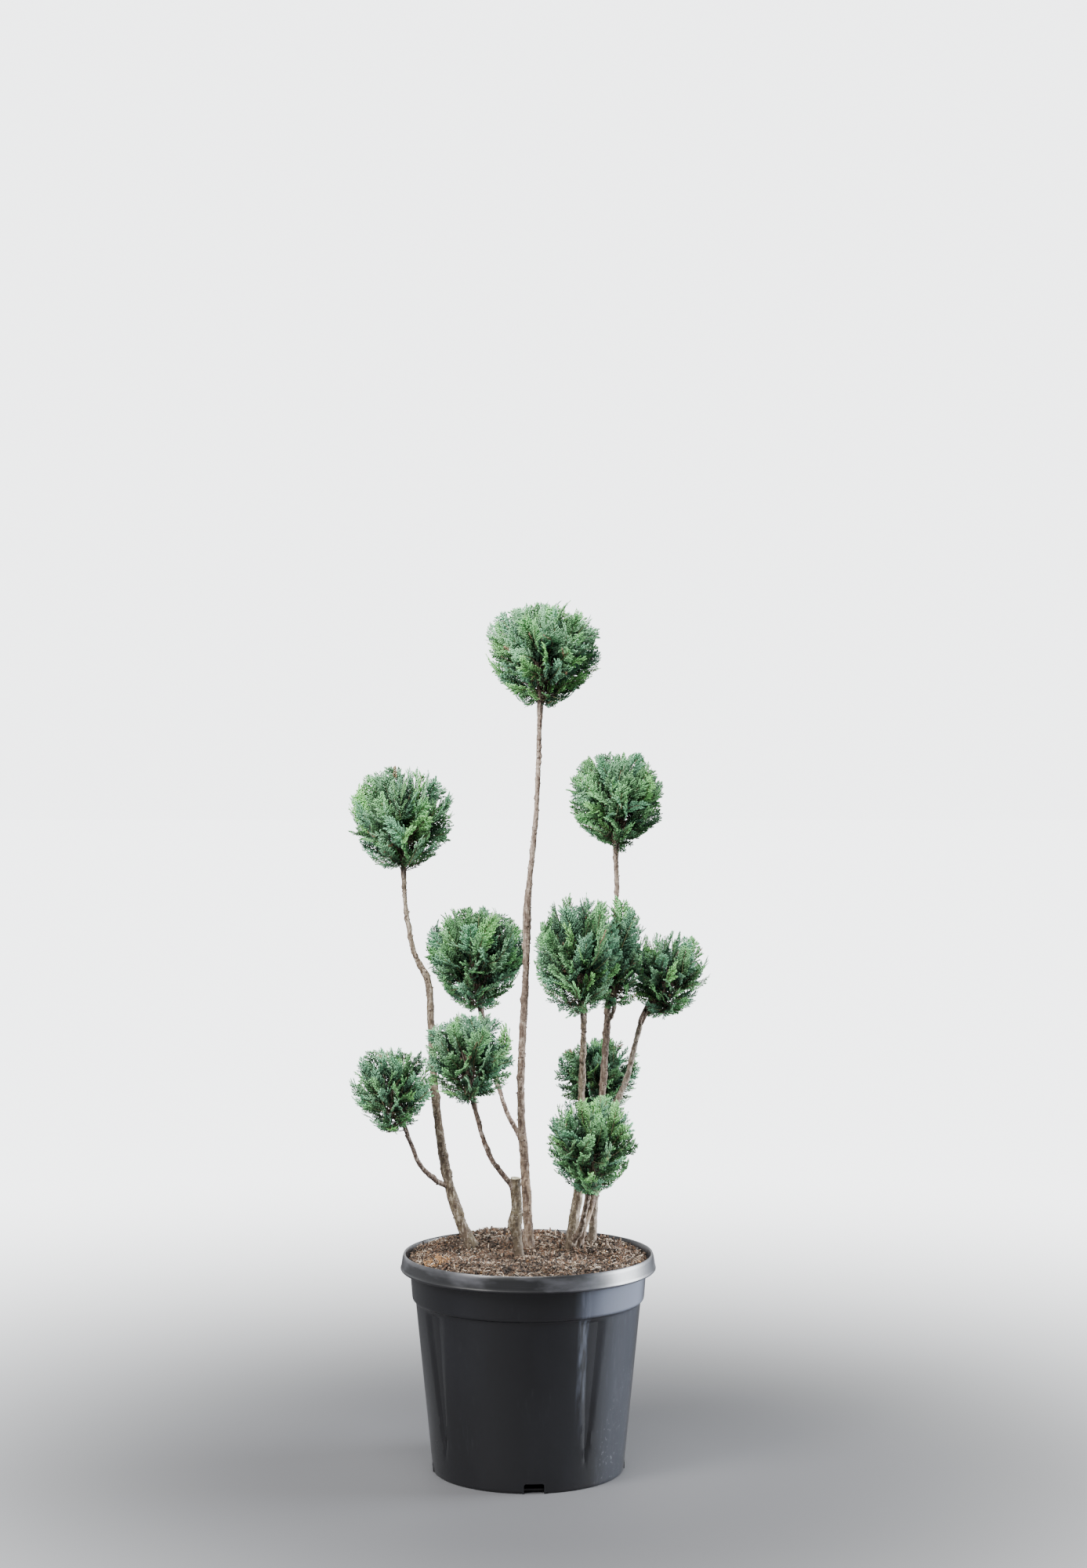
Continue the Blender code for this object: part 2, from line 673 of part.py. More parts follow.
def make_ball(ball, seed, parts, paths):
    """Core, stem, twigs and sprays, joined by one Boolean union on a collection."""
    chance = random.Random(seed)
    fusing = new_collection("fusing")
    put_stem(ball, paths[BALLS[ball][0]], fusing, chance)
    ball_made = put(ball, core_mesh(ball, chance), parts)
    kept = put_sprays(ball, fusing, chance, paths)
    union = ball_made.modifiers.new("Join", "BOOLEAN")
    union.operation = "UNION"
    union.operand_type = "COLLECTION"
    union.collection = fusing
    union.solver = "EXACT"
    joined = evaluated_mesh(ball_made)
    ball_made.modifiers.clear()
    ball_made.data = joined
    joined.name = ball
    for used in list(fusing.objects):
        bpy.data.objects.remove(used, do_unlink=True)
    bpy.data.collections.remove(fusing)
    dropped = keep_main_body(joined)
    finish(ball_made, LEAF, LEAF_ROUGHNESS)
    print(f"{ball}: {kept} sprays, {len(joined.polygons)} triangles, {dropped} scraps dropped")


def main():
    clear_scene()
    parts = new_collection("potted_cypress")
    cutters = new_collection("cutters")
    make_pot(parts, cutters)
    make_mulch(parts, cutters)
    paths = make_trunks(parts)
    make_boughs(parts, cutters, paths)
    for number, ball in enumerate(BALLS):
        make_ball(ball, SEED + number, parts, paths)


main()
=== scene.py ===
# %% [markdown]
# # A clipped cypress in its nursery pot
#
# The plant is a conifer that a nursery has clipped into balls of foliage on bare stems. The
# solids that come with it give its true sizes, and this lesson dresses them: plastic, mulch,
# bark, twigs and more than two hundred thousand scale-leaved branchlets.
#
# Everything is in metres. +Z is up, +X is the plant's right as the camera sees it, and +Y is
# its back. The first step loads the solids and keeps the box that they fill.

# %% Load the solids
import json
import math
import random

import bmesh
import bpy
import numpy as np
from mathutils import Matrix, Quaternion, Vector

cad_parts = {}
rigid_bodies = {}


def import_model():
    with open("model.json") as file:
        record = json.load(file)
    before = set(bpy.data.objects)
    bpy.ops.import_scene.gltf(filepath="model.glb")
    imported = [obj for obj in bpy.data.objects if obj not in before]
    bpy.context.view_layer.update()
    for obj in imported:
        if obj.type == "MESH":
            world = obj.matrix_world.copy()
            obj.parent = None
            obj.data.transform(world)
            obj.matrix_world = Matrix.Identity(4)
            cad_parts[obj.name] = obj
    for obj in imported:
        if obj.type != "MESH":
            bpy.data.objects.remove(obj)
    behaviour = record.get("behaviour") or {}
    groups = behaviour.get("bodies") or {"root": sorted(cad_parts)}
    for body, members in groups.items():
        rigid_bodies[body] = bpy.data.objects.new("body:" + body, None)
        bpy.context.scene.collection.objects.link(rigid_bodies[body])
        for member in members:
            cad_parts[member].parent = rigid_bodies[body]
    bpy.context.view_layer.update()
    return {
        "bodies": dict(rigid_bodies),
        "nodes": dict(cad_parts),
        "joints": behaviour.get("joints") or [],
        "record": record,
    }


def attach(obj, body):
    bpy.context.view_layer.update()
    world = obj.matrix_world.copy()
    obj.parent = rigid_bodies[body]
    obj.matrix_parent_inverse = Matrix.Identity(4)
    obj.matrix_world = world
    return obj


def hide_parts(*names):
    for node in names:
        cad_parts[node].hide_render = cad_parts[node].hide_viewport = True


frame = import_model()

MM = 0.001

# %% [markdown]
# ## Small helpers
#
# Three helpers serve the whole lesson. One puts a new object in the scene. Another turns a
# bmesh, which is Blender's editable mesh that operators grow and cut, into mesh data. The
# third closes a bmesh that is still open somewhere.

# %% Helpers for objects and meshes
def in_scene(name, data):
    """A new object with this data, in the scene."""
    thing = bpy.data.objects.new(name, data)
    bpy.context.scene.collection.objects.link(thing)
    return thing


def mesh_of(bm, name):
    """The bmesh as mesh data. The bmesh is used up."""
    mesh = bpy.data.meshes.new(name)
    bm.to_mesh(mesh)
    bm.free()
    return mesh


def close_ends(bm):
    """Fill the open ends of a skin, and turn its faces outwards."""
    bmesh.ops.holes_fill(bm, edges=[edge for edge in bm.edges if edge.is_boundary], sides=0)
    bmesh.ops.recalc_face_normals(bm, faces=bm.faces)


print("helpers ready")

# %% [markdown]
# ## The camera first
#
# A likeness is easiest to judge through the eye that took the picture. The camera stands
# 3.66 m in front of the pot and 1 m up, and looks straight ahead, so upright lines stay
# upright. The picture is framed a little lower than the lens points, which a small lens shift
# does without tilting anything.

# %% Camera
CAMERA_PLACE = (0.021, -3.657, 1.0)
LENS = 60.99
LENS_SHIFT = -0.0275

camera_data = bpy.data.cameras.new("camera")
camera_data.lens = LENS
camera_data.sensor_width = 36
camera_data.shift_y = LENS_SHIFT
camera_data.clip_end = 200
camera = in_scene("camera", camera_data)
camera.location = CAMERA_PLACE
camera.rotation_euler = (math.pi / 2, 0, 0)
bpy.context.scene.camera = camera
print("camera", camera_data.lens, "mm at", CAMERA_PLACE)

# %% [markdown]
# ## Shader nodes
#
# The sky, the floor and every finish are small graphs of shader nodes. One helper fills a
# node's inputs, each with a plain value or from another node's output. A second adds a node,
# and a third names the coordinates that all patterns here are laid out in: the object's own.

# %% Helpers for shader nodes
def fill(node, inputs):
    """Set a node's inputs, each to a plain value or from another node's output."""
    for label, value in inputs.items():
        if isinstance(value, bpy.types.NodeSocket):
            node.id_data.links.new(value, node.inputs[label])
        else:
            node.inputs[label].default_value = value


def add_node(tree, kind, inputs, **settings):
    """A new node with its settings, and with its inputs filled."""
    node = tree.nodes.new("ShaderNode" + kind)
    for label, value in settings.items():
        setattr(node, label, value)
    fill(node, inputs)
    return node


def object_place(tree):
    return add_node(tree, "TexCoord", {}).outputs["Object"]


def seen_by_camera(tree):
    """1 where the camera looks straight at the surface, and 0 for every other ray."""
    return add_node(tree, "LightPath", {}).outputs["Is Camera Ray"]


print("node helpers ready")

# %% [markdown]
# ## A pale studio
#
# The pot is black plastic, so most of what it shows is a reflection of what is round it. A
# small weak lamp close by on the right, little higher than the pot, draws the bright sheen on
# its collar and along its flute. A large one above and in front lights the crowns, and a
# third on the left is the key light of the stems.
#
# The sky is pale behind the plant and dim behind the camera, so the pot stays dark in front
# and the stems are edged with light. Where the camera looks straight at the sky it is plain
# white, and the floor fades into that white far off, as the curved paper of a studio does.

# %% Floor, sky and lamps
PAPER = (0.96, 0.98, 1.0, 1)
SKY_WHITE = 4.2
DIM_SKY = 0.30
PALE_SKY = 1.5
FLOOR_SIZE = 30
FLOOR_COLOUR = (0.085, 0.086, 0.092, 1)
FADE_START = 0.3
FADE_END = 2.6
LAMPS = {
    "lamp_right": ((1.05, 0.10, 0.46), 0.24, (0.7, 0.40), 8, 60, (0.92, 0.96, 1.0)),
    "lamp_left": ((-2.2, -1.9, 2.5), 0.9, (1.1, 1.1), 165, 180, (1.0, 0.99, 0.97)),
    "lamp_above": ((-0.3, -1.2, 2.6), 0.8, (1.4, 1.4), 122, 180, (1.0, 1.0, 0.98)),
}


def stage_lamp(name, place, aim_height, sides, power, spread, tint):
    """A soft lamp that faces a point on the plant's axis. A small spread keeps its light low."""
    data = bpy.data.lights.new(name, "AREA")
    data.shape = "RECTANGLE"
    data.size, data.size_y = sides
    data.spread = math.radians(spread)
    data.energy = power
    data.color = tint
    lamp = in_scene(name, data)
    lamp.location = place
    aim = Vector((0, 0, aim_height)) - Vector(place)
    lamp.rotation_euler = aim.to_track_quat("-Z", "Y").to_euler()


for name, settings in LAMPS.items():
    stage_lamp(name, *settings)

world = bpy.data.worlds.new("white_sky")
world.use_nodes = True
sky = world.node_tree
view = add_node(sky, "TexCoord", {}).outputs["Generated"]
behind = add_node(sky, "SeparateXYZ", {"Vector": view}).outputs["Y"]
shaded = add_node(sky, "MapRange", {"Value": behind, "From Min": -0.5, "From Max": 0.7,
                                    "To Min": DIM_SKY, "To Max": PALE_SKY}).outputs["Result"]
sky_power = add_node(sky, "MapRange", {"Value": seen_by_camera(sky), "To Min": shaded,
                                       "To Max": SKY_WHITE}).outputs["Result"]
fill(sky.nodes["Background"], {"Color": PAPER, "Strength": sky_power})
bpy.context.scene.world = world

floor_bm = bmesh.new()
bmesh.ops.create_grid(floor_bm, x_segments=1, y_segments=1, size=FLOOR_SIZE)
floor = in_scene("floor", mesh_of(floor_bm, "floor"))
floor_paint = bpy.data.materials.new("pale_floor")
floor_paint.use_nodes = True
paint = floor_paint.node_tree
far = add_node(paint, "VectorMath", {0: object_place(paint)}, operation="LENGTH").outputs["Value"]
fade = add_node(paint, "MapRange", {"Value": far, "From Min": FADE_START, "From Max": FADE_END,
                                    "To Max": SKY_WHITE}, interpolation_type="SMOOTHSTEP")
glow = add_node(paint, "Math", {0: fade.outputs["Result"], 1: seen_by_camera(paint)},
                operation="MULTIPLY").outputs["Value"]
fill(paint.nodes["Principled BSDF"], {"Base Color": FLOOR_COLOUR, "Roughness": 0.7,
                                      "Emission Color": PAPER, "Emission Strength": glow})
floor.data.materials.append(floor_paint)
print("stage set with", len(LAMPS), "lamps")

# %% [markdown]
# ## Pieces
#
# Leaves and chips come in tens of thousands, which is too many for operators. So one helper
# fills a mesh straight from arrays of corners and triangles. Another puts a piece in the
# scene, hides the solids that it stands for, and gives it its finishes.

# %% Helpers that make and place a piece
def joined_mesh(name, corners, triangles, tints):
    """One mesh of many small forms, with the number of each triangle's finish."""
    mesh = bpy.data.meshes.new(name)
    mesh.vertices.add(len(corners))
    mesh.vertices.foreach_set("co", np.ascontiguousarray(corners, np.float32).ravel())
    mesh.loops.add(triangles.size)
    mesh.loops.foreach_set("vertex_index", np.ascontiguousarray(triangles, np.int32).ravel())
    mesh.polygons.add(len(triangles))
    starts = np.arange(0, triangles.size, 3, dtype=np.int32)
    mesh.polygons.foreach_set("loop_start", starts)
    mesh.polygons.foreach_set("material_index", np.ascontiguousarray(tints, np.int32))
    mesh.update(calc_edges=True)
    return mesh


def show(name, mesh, finishes, slot, *nodes):
    """Put a piece in the scene in its finishes, in place of the solids that it stands for."""
    piece = in_scene(name, mesh)
    for finish in finishes:
        mesh.materials.append(finish)
    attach(piece, "root")
    if nodes:
        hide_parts(*nodes)
    print(name, "has", sum(len(face.vertices) - 2 for face in mesh.polygons), "triangles")


def show_joined(name, arrays, finishes, slot, *nodes):
    """Show a piece given as corners, triangles and the number of each triangle's finish."""
    show(name, joined_mesh(name, *arrays), finishes, slot, *nodes)


# %% [markdown]
# Nothing on a plant is even. This noise is a grid of random heights with smooth slopes
# between them, worked out for a whole array of places at once. A different size along each
# axis stretches it into ridges or rings.

# %% Smooth noise for arrays of places
def cloud(places, size, seed):
    """Noise from -1 to 1, with hills about one size apart."""
    where = np.asarray(places) / np.asarray(size)
    low = np.floor(where).astype(np.int64)
    part = where - low
    part = part * part * (3 - 2 * part)
    total = np.zeros(len(where))
    for corner in np.ndindex(2, 2, 2):
        spot = low + corner
        key = spot[:, 0] * 73856093 ^ spot[:, 1] * 19349663 ^ spot[:, 2] * 83492791
        key = (key ^ seed * 7919) & 0xFFFFFFFF
        key = ((key ^ key >> 15) * 2246822519) & 0xFFFFFFFF
        key = ((key ^ key >> 13) * 3266489917) & 0xFFFFFFFF
        height = (key >> 8 & 0xFFFF) / 32767.5 - 1
        total += height * np.prod(np.where(corner, part, 1 - part), axis=1)
    return total


sample = cloud(np.random.default_rng(1).uniform(-1, 1, (1000, 3)), 0.1, 3)
print("noise runs from", round(sample.min(), 2), "to", round(sample.max(), 2))

# %% [markdown]
# ## Patterns that several finishes share
#
# A shader node group is a pattern with named inputs and outputs, built once and used in any
# number of materials. It puts out values only. The shader that turns them into plastic or
# bark stays in the material itself.
#
# *Streaks* is noise stretched along one axis: rub marks on plastic, fibres in bark. *Specks*
# keeps only the peaks of a noise: dust, lichen and pores.

# %% The two pattern groups
def new_group(name, inputs, output):
    """A shader group of plain values: the group, what comes in, and the node that ends it."""
    group = bpy.data.node_groups.new(name, "ShaderNodeTree")
    for label, value in inputs.items():
        socket = group.interface.new_socket(label, in_out="INPUT", socket_type="NodeSocketFloat")
        socket.default_value = value
    group.interface.new_socket(output, in_out="OUTPUT", socket_type="NodeSocketFloat")
    return group, group.nodes.new("NodeGroupInput").outputs, group.nodes.new("NodeGroupOutput")


def make_streaks():
    group, given, end = new_group("streaks", {"Across": 60.0, "Along": 6.0, "Detail": 4.0}, "Value")
    stretch = add_node(group, "CombineXYZ",
                       {"X": given["Across"], "Y": given["Across"], "Z": given["Along"]})
    place = add_node(group, "VectorMath", {0: object_place(group), 1: stretch.outputs["Vector"]},
                     operation="MULTIPLY")
    noise = add_node(group, "TexNoise", {"Vector": place.outputs["Vector"], "Scale": 1,
                                         "Detail": given["Detail"]})
    fill(end, {"Value": noise.outputs["Fac"]})
    return group


def make_specks():
    inputs = {"Scale": 80.0, "Detail": 3.0, "From": 0.55, "To": 0.65}
    group, given, end = new_group("specks", inputs, "Mask")
    noise = add_node(group, "TexNoise", {"Vector": object_place(group), "Scale": given["Scale"],
                                         "Detail": given["Detail"]})
    cut = add_node(group, "MapRange", {"Value": noise.outputs["Fac"], "From Min": given["From"],
                                       "From Max": given["To"]}, interpolation_type="SMOOTHSTEP")
    fill(end, {"Mask": cut.outputs["Result"]})
    return group


STREAKS = make_streaks()
SPECKS = make_specks()
print("groups:", STREAKS.name, "and", SPECKS.name)

# %% [markdown]
# A finish is then a short recipe. It starts from one colour and lays others over it, each
# through one mask or several at once. This small class keeps such a recipe readable.

# %% A recipe for layered finishes
class Finish:
    """A Principled material whose colour is laid on in coats, each through masks."""

    def __init__(self, name, colour, roughness, specular=0.5):
        self.material = bpy.data.materials.new(name)
        self.material.use_nodes = True
        self.tree = self.material.node_tree
        self.shader = self.tree.nodes["Principled BSDF"]
        self.colour = (*colour, 1)
        fill(self.shader, {"Base Color": self.colour, "Roughness": roughness,
                           "Specular IOR Level": specular})

    def pattern(self, group, **values):
        """The pattern's output, with its inputs set."""
        return add_node(self.tree, "Group", values, node_tree=group).outputs[0]

    def spread(self, value, low, high, new_low=0.0, new_high=1.0):
        """Stretch a value, and cut it off at both ends."""
        ends = {"From Min": low, "From Max": high, "To Min": new_low, "To Max": new_high}
        return add_node(self.tree, "MapRange", {"Value": value, **ends}).outputs["Result"]

    def height_above(self, low, high, new_low=0.0, new_high=1.0):
        """A mask that changes from one value to another between two heights."""
        parts = add_node(self.tree, "SeparateXYZ", {"Vector": object_place(self.tree)})
        return self.spread(parts.outputs["Z"], low, high, new_low, new_high)

    def vector(self, operation, first, second=(0, 0, 0)):
        """A vector worked out from one vector or two."""
        return add_node(self.tree, "VectorMath", {0: first, 1: second}, operation=operation).outputs

    def side_facing(self, direction, low, high):
        """A mask for the side of the piece that lies towards a direction from its axis."""
        level = self.vector("MULTIPLY", object_place(self.tree), (1, 1, 0))["Vector"]
        aim = self.vector("NORMALIZE", level)["Vector"]
        return self.spread(self.vector("DOT_PRODUCT", aim, direction)["Value"], low, high)

    def coat(self, colour, mask, *masks):
        """Lay a colour over what is there, where every mask is 1."""
        for other in masks:
            mask = add_node(self.tree, "Math", {0: mask, 1: other}, operation="MULTIPLY").outputs[0]
        mix = add_node(self.tree, "Mix", {0: mask, 6: self.colour, 7: (*colour, 1)}, data_type="RGBA")
        self.colour = mix.outputs[2]
        fill(self.shader, {"Base Color": self.colour})

    def dull(self, value, low, high):
        """Roughness between two values, led by a pattern."""
        fill(self.shader, {"Roughness": self.spread(value, 0.3, 0.7, low, high)})

    def relief(self, value, strength, distance):
        """Fine relief from a pattern, too small to model."""
        bump = add_node(self.tree, "Bump", {"Height": value, "Strength": strength, "Distance": distance})
        fill(self.shader, {"Normal": bump.outputs["Normal"]})


print("finishes are laid in coats")

# %% [markdown]
# ## The pot
#
# A nursery pot is blown or moulded from black recycled plastic. Its tapered wall carries a
# wider band and a rolled collar, four shallow flutes that stiffen it, and notches at the foot
# that let water out.
#
# A turned shape is a profile spun round an axis. The solid pot has 40 steps, and this one
# has 240, so it looks round up close. The same profile runs down the inside too, which makes
# a real wall of one closed skin.

# %% Sizes of the pot
POT_STEPS = 240
POT_WALL = 2.6 * MM
FLOOR_THICKNESS = 4 * MM
FOOT_RADIUS = 131 * MM
BODY_TOP_RADIUS = 154.8 * MM
BODY_TOP_HEIGHT = 232 * MM
BAND_BOTTOM_RADIUS = 159 * MM
BAND_BOTTOM_HEIGHT = 237 * MM
BAND_TOP_RADIUS = 162.5 * MM
COLLAR_RADIUS = 176 * MM
COLLAR_BOTTOM_HEIGHT = 274.5 * MM
MOUTH_RADIUS = 168 * MM
POT_HEIGHT = 297 * MM
POT_ROUNDING = 2.4 * MM
WALL_PIECES = 60


def body_radius(height):
    """The outer radius of the tapered body at a height above the ground."""
    return FOOT_RADIUS + (BODY_TOP_RADIUS - FOOT_RADIUS) * height / BODY_TOP_HEIGHT


def rounded(corners, radius, steps=4):
    """A profile whose inner corners are rounded by short arcs."""
    smooth = [corners[0]]
    for before, corner, after in zip(corners, corners[1:], corners[2:]):
        here = Vector(corner)
        into = Vector(before) - here
        out = Vector(after) - here
        cut = min(radius, into.length * 0.45, out.length * 0.45)
        start = here + into.normalized() * cut
        end = here + out.normalized() * cut
        for step in range(steps + 1):
            t = step / steps
            smooth.append(tuple(start * (1 - t) ** 2 + here * 2 * t * (1 - t) + end * t * t))
    return smooth + [corners[-1]]


def upright(low, high, pieces):
    """Points on a straight wall, close enough together for flutes to bend it."""
    return [tuple(first + (last - first) * n / pieces for first, last in zip(low, high))
            for n in range(pieces + 1)]


outside = [
    (0, 0),
    (FOOT_RADIUS - 1 * MM, 0),
    (FOOT_RADIUS + 0.4 * MM, 3 * MM),
    (BODY_TOP_RADIUS, BODY_TOP_HEIGHT),
    (BAND_BOTTOM_RADIUS - 0.5 * MM, BODY_TOP_HEIGHT + 2.5 * MM),
    (BAND_BOTTOM_RADIUS + 0.5 * MM, BAND_BOTTOM_HEIGHT),
    (BAND_TOP_RADIUS, COLLAR_BOTTOM_HEIGHT - 1 * MM),
    (COLLAR_RADIUS - 2.2 * MM, COLLAR_BOTTOM_HEIGHT - 0.6 * MM),
    (COLLAR_RADIUS, COLLAR_BOTTOM_HEIGHT + 1.6 * MM),
    (COLLAR_RADIUS - 1.1 * MM, COLLAR_BOTTOM_HEIGHT + 4.5 * MM),
    (COLLAR_RADIUS - 3.4 * MM, POT_HEIGHT - 4 * MM),
    (COLLAR_RADIUS - 5 * MM, POT_HEIGHT),
]
inside = [
    (MOUTH_RADIUS + 1 * MM, POT_HEIGHT - 0.8 * MM),
    (MOUTH_RADIUS - 1 * MM, POT_HEIGHT - 6 * MM),
    (BAND_TOP_RADIUS - POT_WALL, COLLAR_BOTTOM_HEIGHT - 5 * MM),
    (BODY_TOP_RADIUS - POT_WALL, BODY_TOP_HEIGHT),
    (body_radius(FLOOR_THICKNESS) - POT_WALL, FLOOR_THICKNESS),
    (0, FLOOR_THICKNESS),
]
profile = rounded(outside + inside, POT_ROUNDING)
outer_half = profile[:len(profile) // 2]
wall_start = max(n for n, point in enumerate(outer_half) if point[1] < 2 * FLOOR_THICKNESS)
profile[wall_start:wall_start + 2] = upright(profile[wall_start], profile[wall_start + 1], WALL_PIECES)
print("profile of", len(profile), "points")

# %% [markdown]
# The flutes are pressed in after the spin. Each is a hollow with two crisp edges, as wide as
# sixteen degrees under the band, and it narrows to nothing above the foot.

# %% Spin the profile, press the flutes and cut the notches
FLUTES = 4
FLUTE_DEPTH = 3.2 * MM
FLUTE_BOTTOM = 24 * MM
FLUTE_TOP = 229 * MM
FLUTE_TURN = math.radians(-55.2)
FLUTE_HALF_WIDTH = math.radians(8.2)
NOTCH_TURN = math.radians(-86.3)
NOTCH_WIDTH = 27 * MM
NOTCH_HEIGHT = 13.5 * MM
NOTCH_ROUNDING = 3 * MM
NOTCH_REACH = 12 * MM
FRAME_WIDTH = NOTCH_WIDTH + 5 * MM
FRAME_HEIGHT = NOTCH_HEIGHT + 2.5 * MM
FRAME_ROUNDING = 4 * MM
FRAME_STANDS_OUT = 0.5 * MM


def spun(line, steps):
    """A profile of radii and heights, spun round the pot's axis into a closed skin."""
    bm = bmesh.new()
    points = [bm.verts.new((radius, 0, height)) for radius, height in line]
    edges = [bm.edges.new(pair) for pair in zip(points, points[1:])]
    bmesh.ops.spin(bm, geom=[*points, *edges], cent=(0, 0, 0), axis=(0, 0, 1),
                   angle=2 * math.pi, steps=steps, use_merge=True)
    bmesh.ops.remove_doubles(bm, verts=bm.verts, dist=0.01 * MM)
    bmesh.ops.recalc_face_normals(bm, faces=bm.faces)
    return bm


def press_flutes(bm):
    """Push the wall in along each flute."""
    for vertex in bm.verts:
        radius = math.hypot(vertex.co.x, vertex.co.y)
        rise = (vertex.co.z - FLUTE_BOTTOM) / (FLUTE_TOP - FLUTE_BOTTOM)
        if not 0 < rise < 1 or radius < body_radius(vertex.co.z) - POT_WALL / 2:
            continue
        turn = math.atan2(vertex.co.y, vertex.co.x) - FLUTE_TURN
        off = (turn + math.pi / FLUTES) % (2 * math.pi / FLUTES) - math.pi / FLUTES
        across = off / (FLUTE_HALF_WIDTH * rise ** 0.8)
        if abs(across) < 1:
            depth = FLUTE_DEPTH * (1 - across * across) * min(1, rise * 6)
            vertex.co.x *= 1 - depth / radius
            vertex.co.y *= 1 - depth / radius


def notch_block(index, width, height, near, far, rounding):
    """A block with rounded upper edges, across the pot's foot at one notch."""
    bm = bmesh.new()
    bmesh.ops.create_cube(bm, size=1)
    bmesh.ops.scale(bm, vec=(far - near, width, 2 * height), verts=bm.verts)
    bmesh.ops.translate(bm, vec=((far + near) / 2, 0, 0), verts=bm.verts)
    along = [edge for edge in bm.edges if abs(edge.verts[0].co.x - edge.verts[1].co.x) > (far - near) / 2]
    bmesh.ops.bevel(bm, geom=along, offset=rounding, segments=5, profile=0.5,
                    affect="EDGES", material=-1)
    turn = NOTCH_TURN + index * 2 * math.pi / FLUTES
    bmesh.ops.rotate(bm, matrix=Matrix.Rotation(turn, 3, "Z"), verts=bm.verts)
    return in_scene("notch_block", mesh_of(bm, "notch_block"))


def cut_below(block, height):
    """Cut a block off level at a height, and close the cut."""
    bm = bmesh.new()
    bm.from_mesh(block.data)
    bmesh.ops.bisect_plane(bm, geom=[*bm.verts, *bm.edges, *bm.faces], dist=0.001 * MM,
                           plane_co=(0, 0, height), plane_no=(0, 0, 1), clear_inner=True)
    close_ends(bm)
    bm.to_mesh(block.data)
    bm.free()


def applied(mesh, blocks, operation):
    """The mesh with every block cut out of it, or joined to it."""
    holder = in_scene("holder", mesh)
    for block in blocks:
        step = holder.modifiers.new("step", "BOOLEAN")
        step.operation = operation
        step.solver = "EXACT"
        step.object = block
    bpy.context.view_layer.update()
    result = bpy.data.meshes.new_from_object(
        holder.evaluated_get(bpy.context.evaluated_depsgraph_get()))
    for used in [holder, *blocks]:
        bpy.data.objects.remove(used, do_unlink=True)
    return result


pot_bm = spun(profile, POT_STEPS)
press_flutes(pot_bm)
frames = [notch_block(n, FRAME_WIDTH, FRAME_HEIGHT, FOOT_RADIUS - 2 * MM,
                      FOOT_RADIUS + FRAME_STANDS_OUT, FRAME_ROUNDING) for n in range(FLUTES)]
for block in frames:
    cut_below(block, 1 * MM)
pot_mesh = applied(mesh_of(pot_bm, "pot_shell"), frames, "UNION")
openings = [notch_block(n, NOTCH_WIDTH, NOTCH_HEIGHT, FOOT_RADIUS - NOTCH_REACH,
                        FOOT_RADIUS + NOTCH_REACH, NOTCH_ROUNDING) for n in range(FLUTES)]
pot_mesh = applied(pot_mesh, openings, "DIFFERENCE")
pot_mesh.shade_smooth()
pot_mesh.set_sharp_from_angle(angle=math.radians(28))
print("pot skin has", len(pot_mesh.polygons), "faces")

# %% [markdown]
# Black plastic is never plain black once it has been on a lorry. Dust lies on it in clouds,
# and the collar is dark between patches that handling has worn pale. The right side, where
# the light falls, carries painted sheen: a bluish painted reflection, pale streaks, a painted
# highlight along the edge of a flute and painted sheen round the band there, and real scuffs
# shown only on that lit side. Each is a coat over the charcoal, and how dull the plastic is
# varies too.

# %% Plastic finish
plastic = Finish("nursery_plastic", (0.0040, 0.0041, 0.0056), 0.34, specular=0.62)
haze = plastic.pattern(STREAKS, Across=11.0, Along=4.0, Detail=5.0)
rubs_and_sheen = plastic.pattern(STREAKS, Across=240.0, Along=26.0, Detail=6.0)
rings = plastic.pattern(STREAKS, Across=7.0, Along=600.0, Detail=4.0)
worn = plastic.pattern(STREAKS, Across=10.0, Along=30.0, Detail=6.0)
dust = plastic.pattern(SPECKS, Scale=700.0, Detail=4.0, From=0.64, To=0.76)
scuffs = plastic.pattern(SPECKS, Scale=210.0, Detail=6.0, From=0.60, To=0.70)
patches = plastic.pattern(SPECKS, Scale=13.0, Detail=5.0, From=0.50, To=0.66)
sheen_side = plastic.side_facing((0.87, -0.50, 0), 0.935, 0.995)
wide_sheen_side = plastic.side_facing((0.80, -0.60, 0), 0.86, 0.97)
flute_highlight = plastic.side_facing((0.49, -0.872, 0), 0.9982, 0.9997)
upper = plastic.height_above(0.06, 0.20)
band = plastic.height_above(0.2335, 0.238)
collar = plastic.height_above(0.270, 0.277)
plastic.coat((0.0060, 0.0064, 0.0092), plastic.spread(haze, 0.45, 0.65))
# Painted reflection: the right side, where the light falls, turns bluish, and pale streaks of painted
# sheen run down it.
plastic.coat((0.0130, 0.0152, 0.0225), sheen_side, plastic.spread(haze, 0.25, 0.60, 0.35, 0.95))
plastic.coat((0.045, 0.049, 0.062), sheen_side, plastic.spread(rubs_and_sheen, 0.52, 0.76, 0.0, 0.4))
# Painted highlight along the left edge of the right flute, fading towards the foot.
plastic.coat((0.060, 0.068, 0.090), flute_highlight, upper, plastic.spread(rubs_and_sheen, 0.40, 0.70))
# Painted sheen round the band on its right side.
plastic.coat((0.095, 0.106, 0.140), wide_sheen_side, band, plastic.spread(haze, 0.30, 0.55, 0.3, 0.9))
plastic.coat((0.030, 0.032, 0.038), patches, plastic.spread(rubs_and_sheen, 0.56, 0.74, 0.0, 0.3))
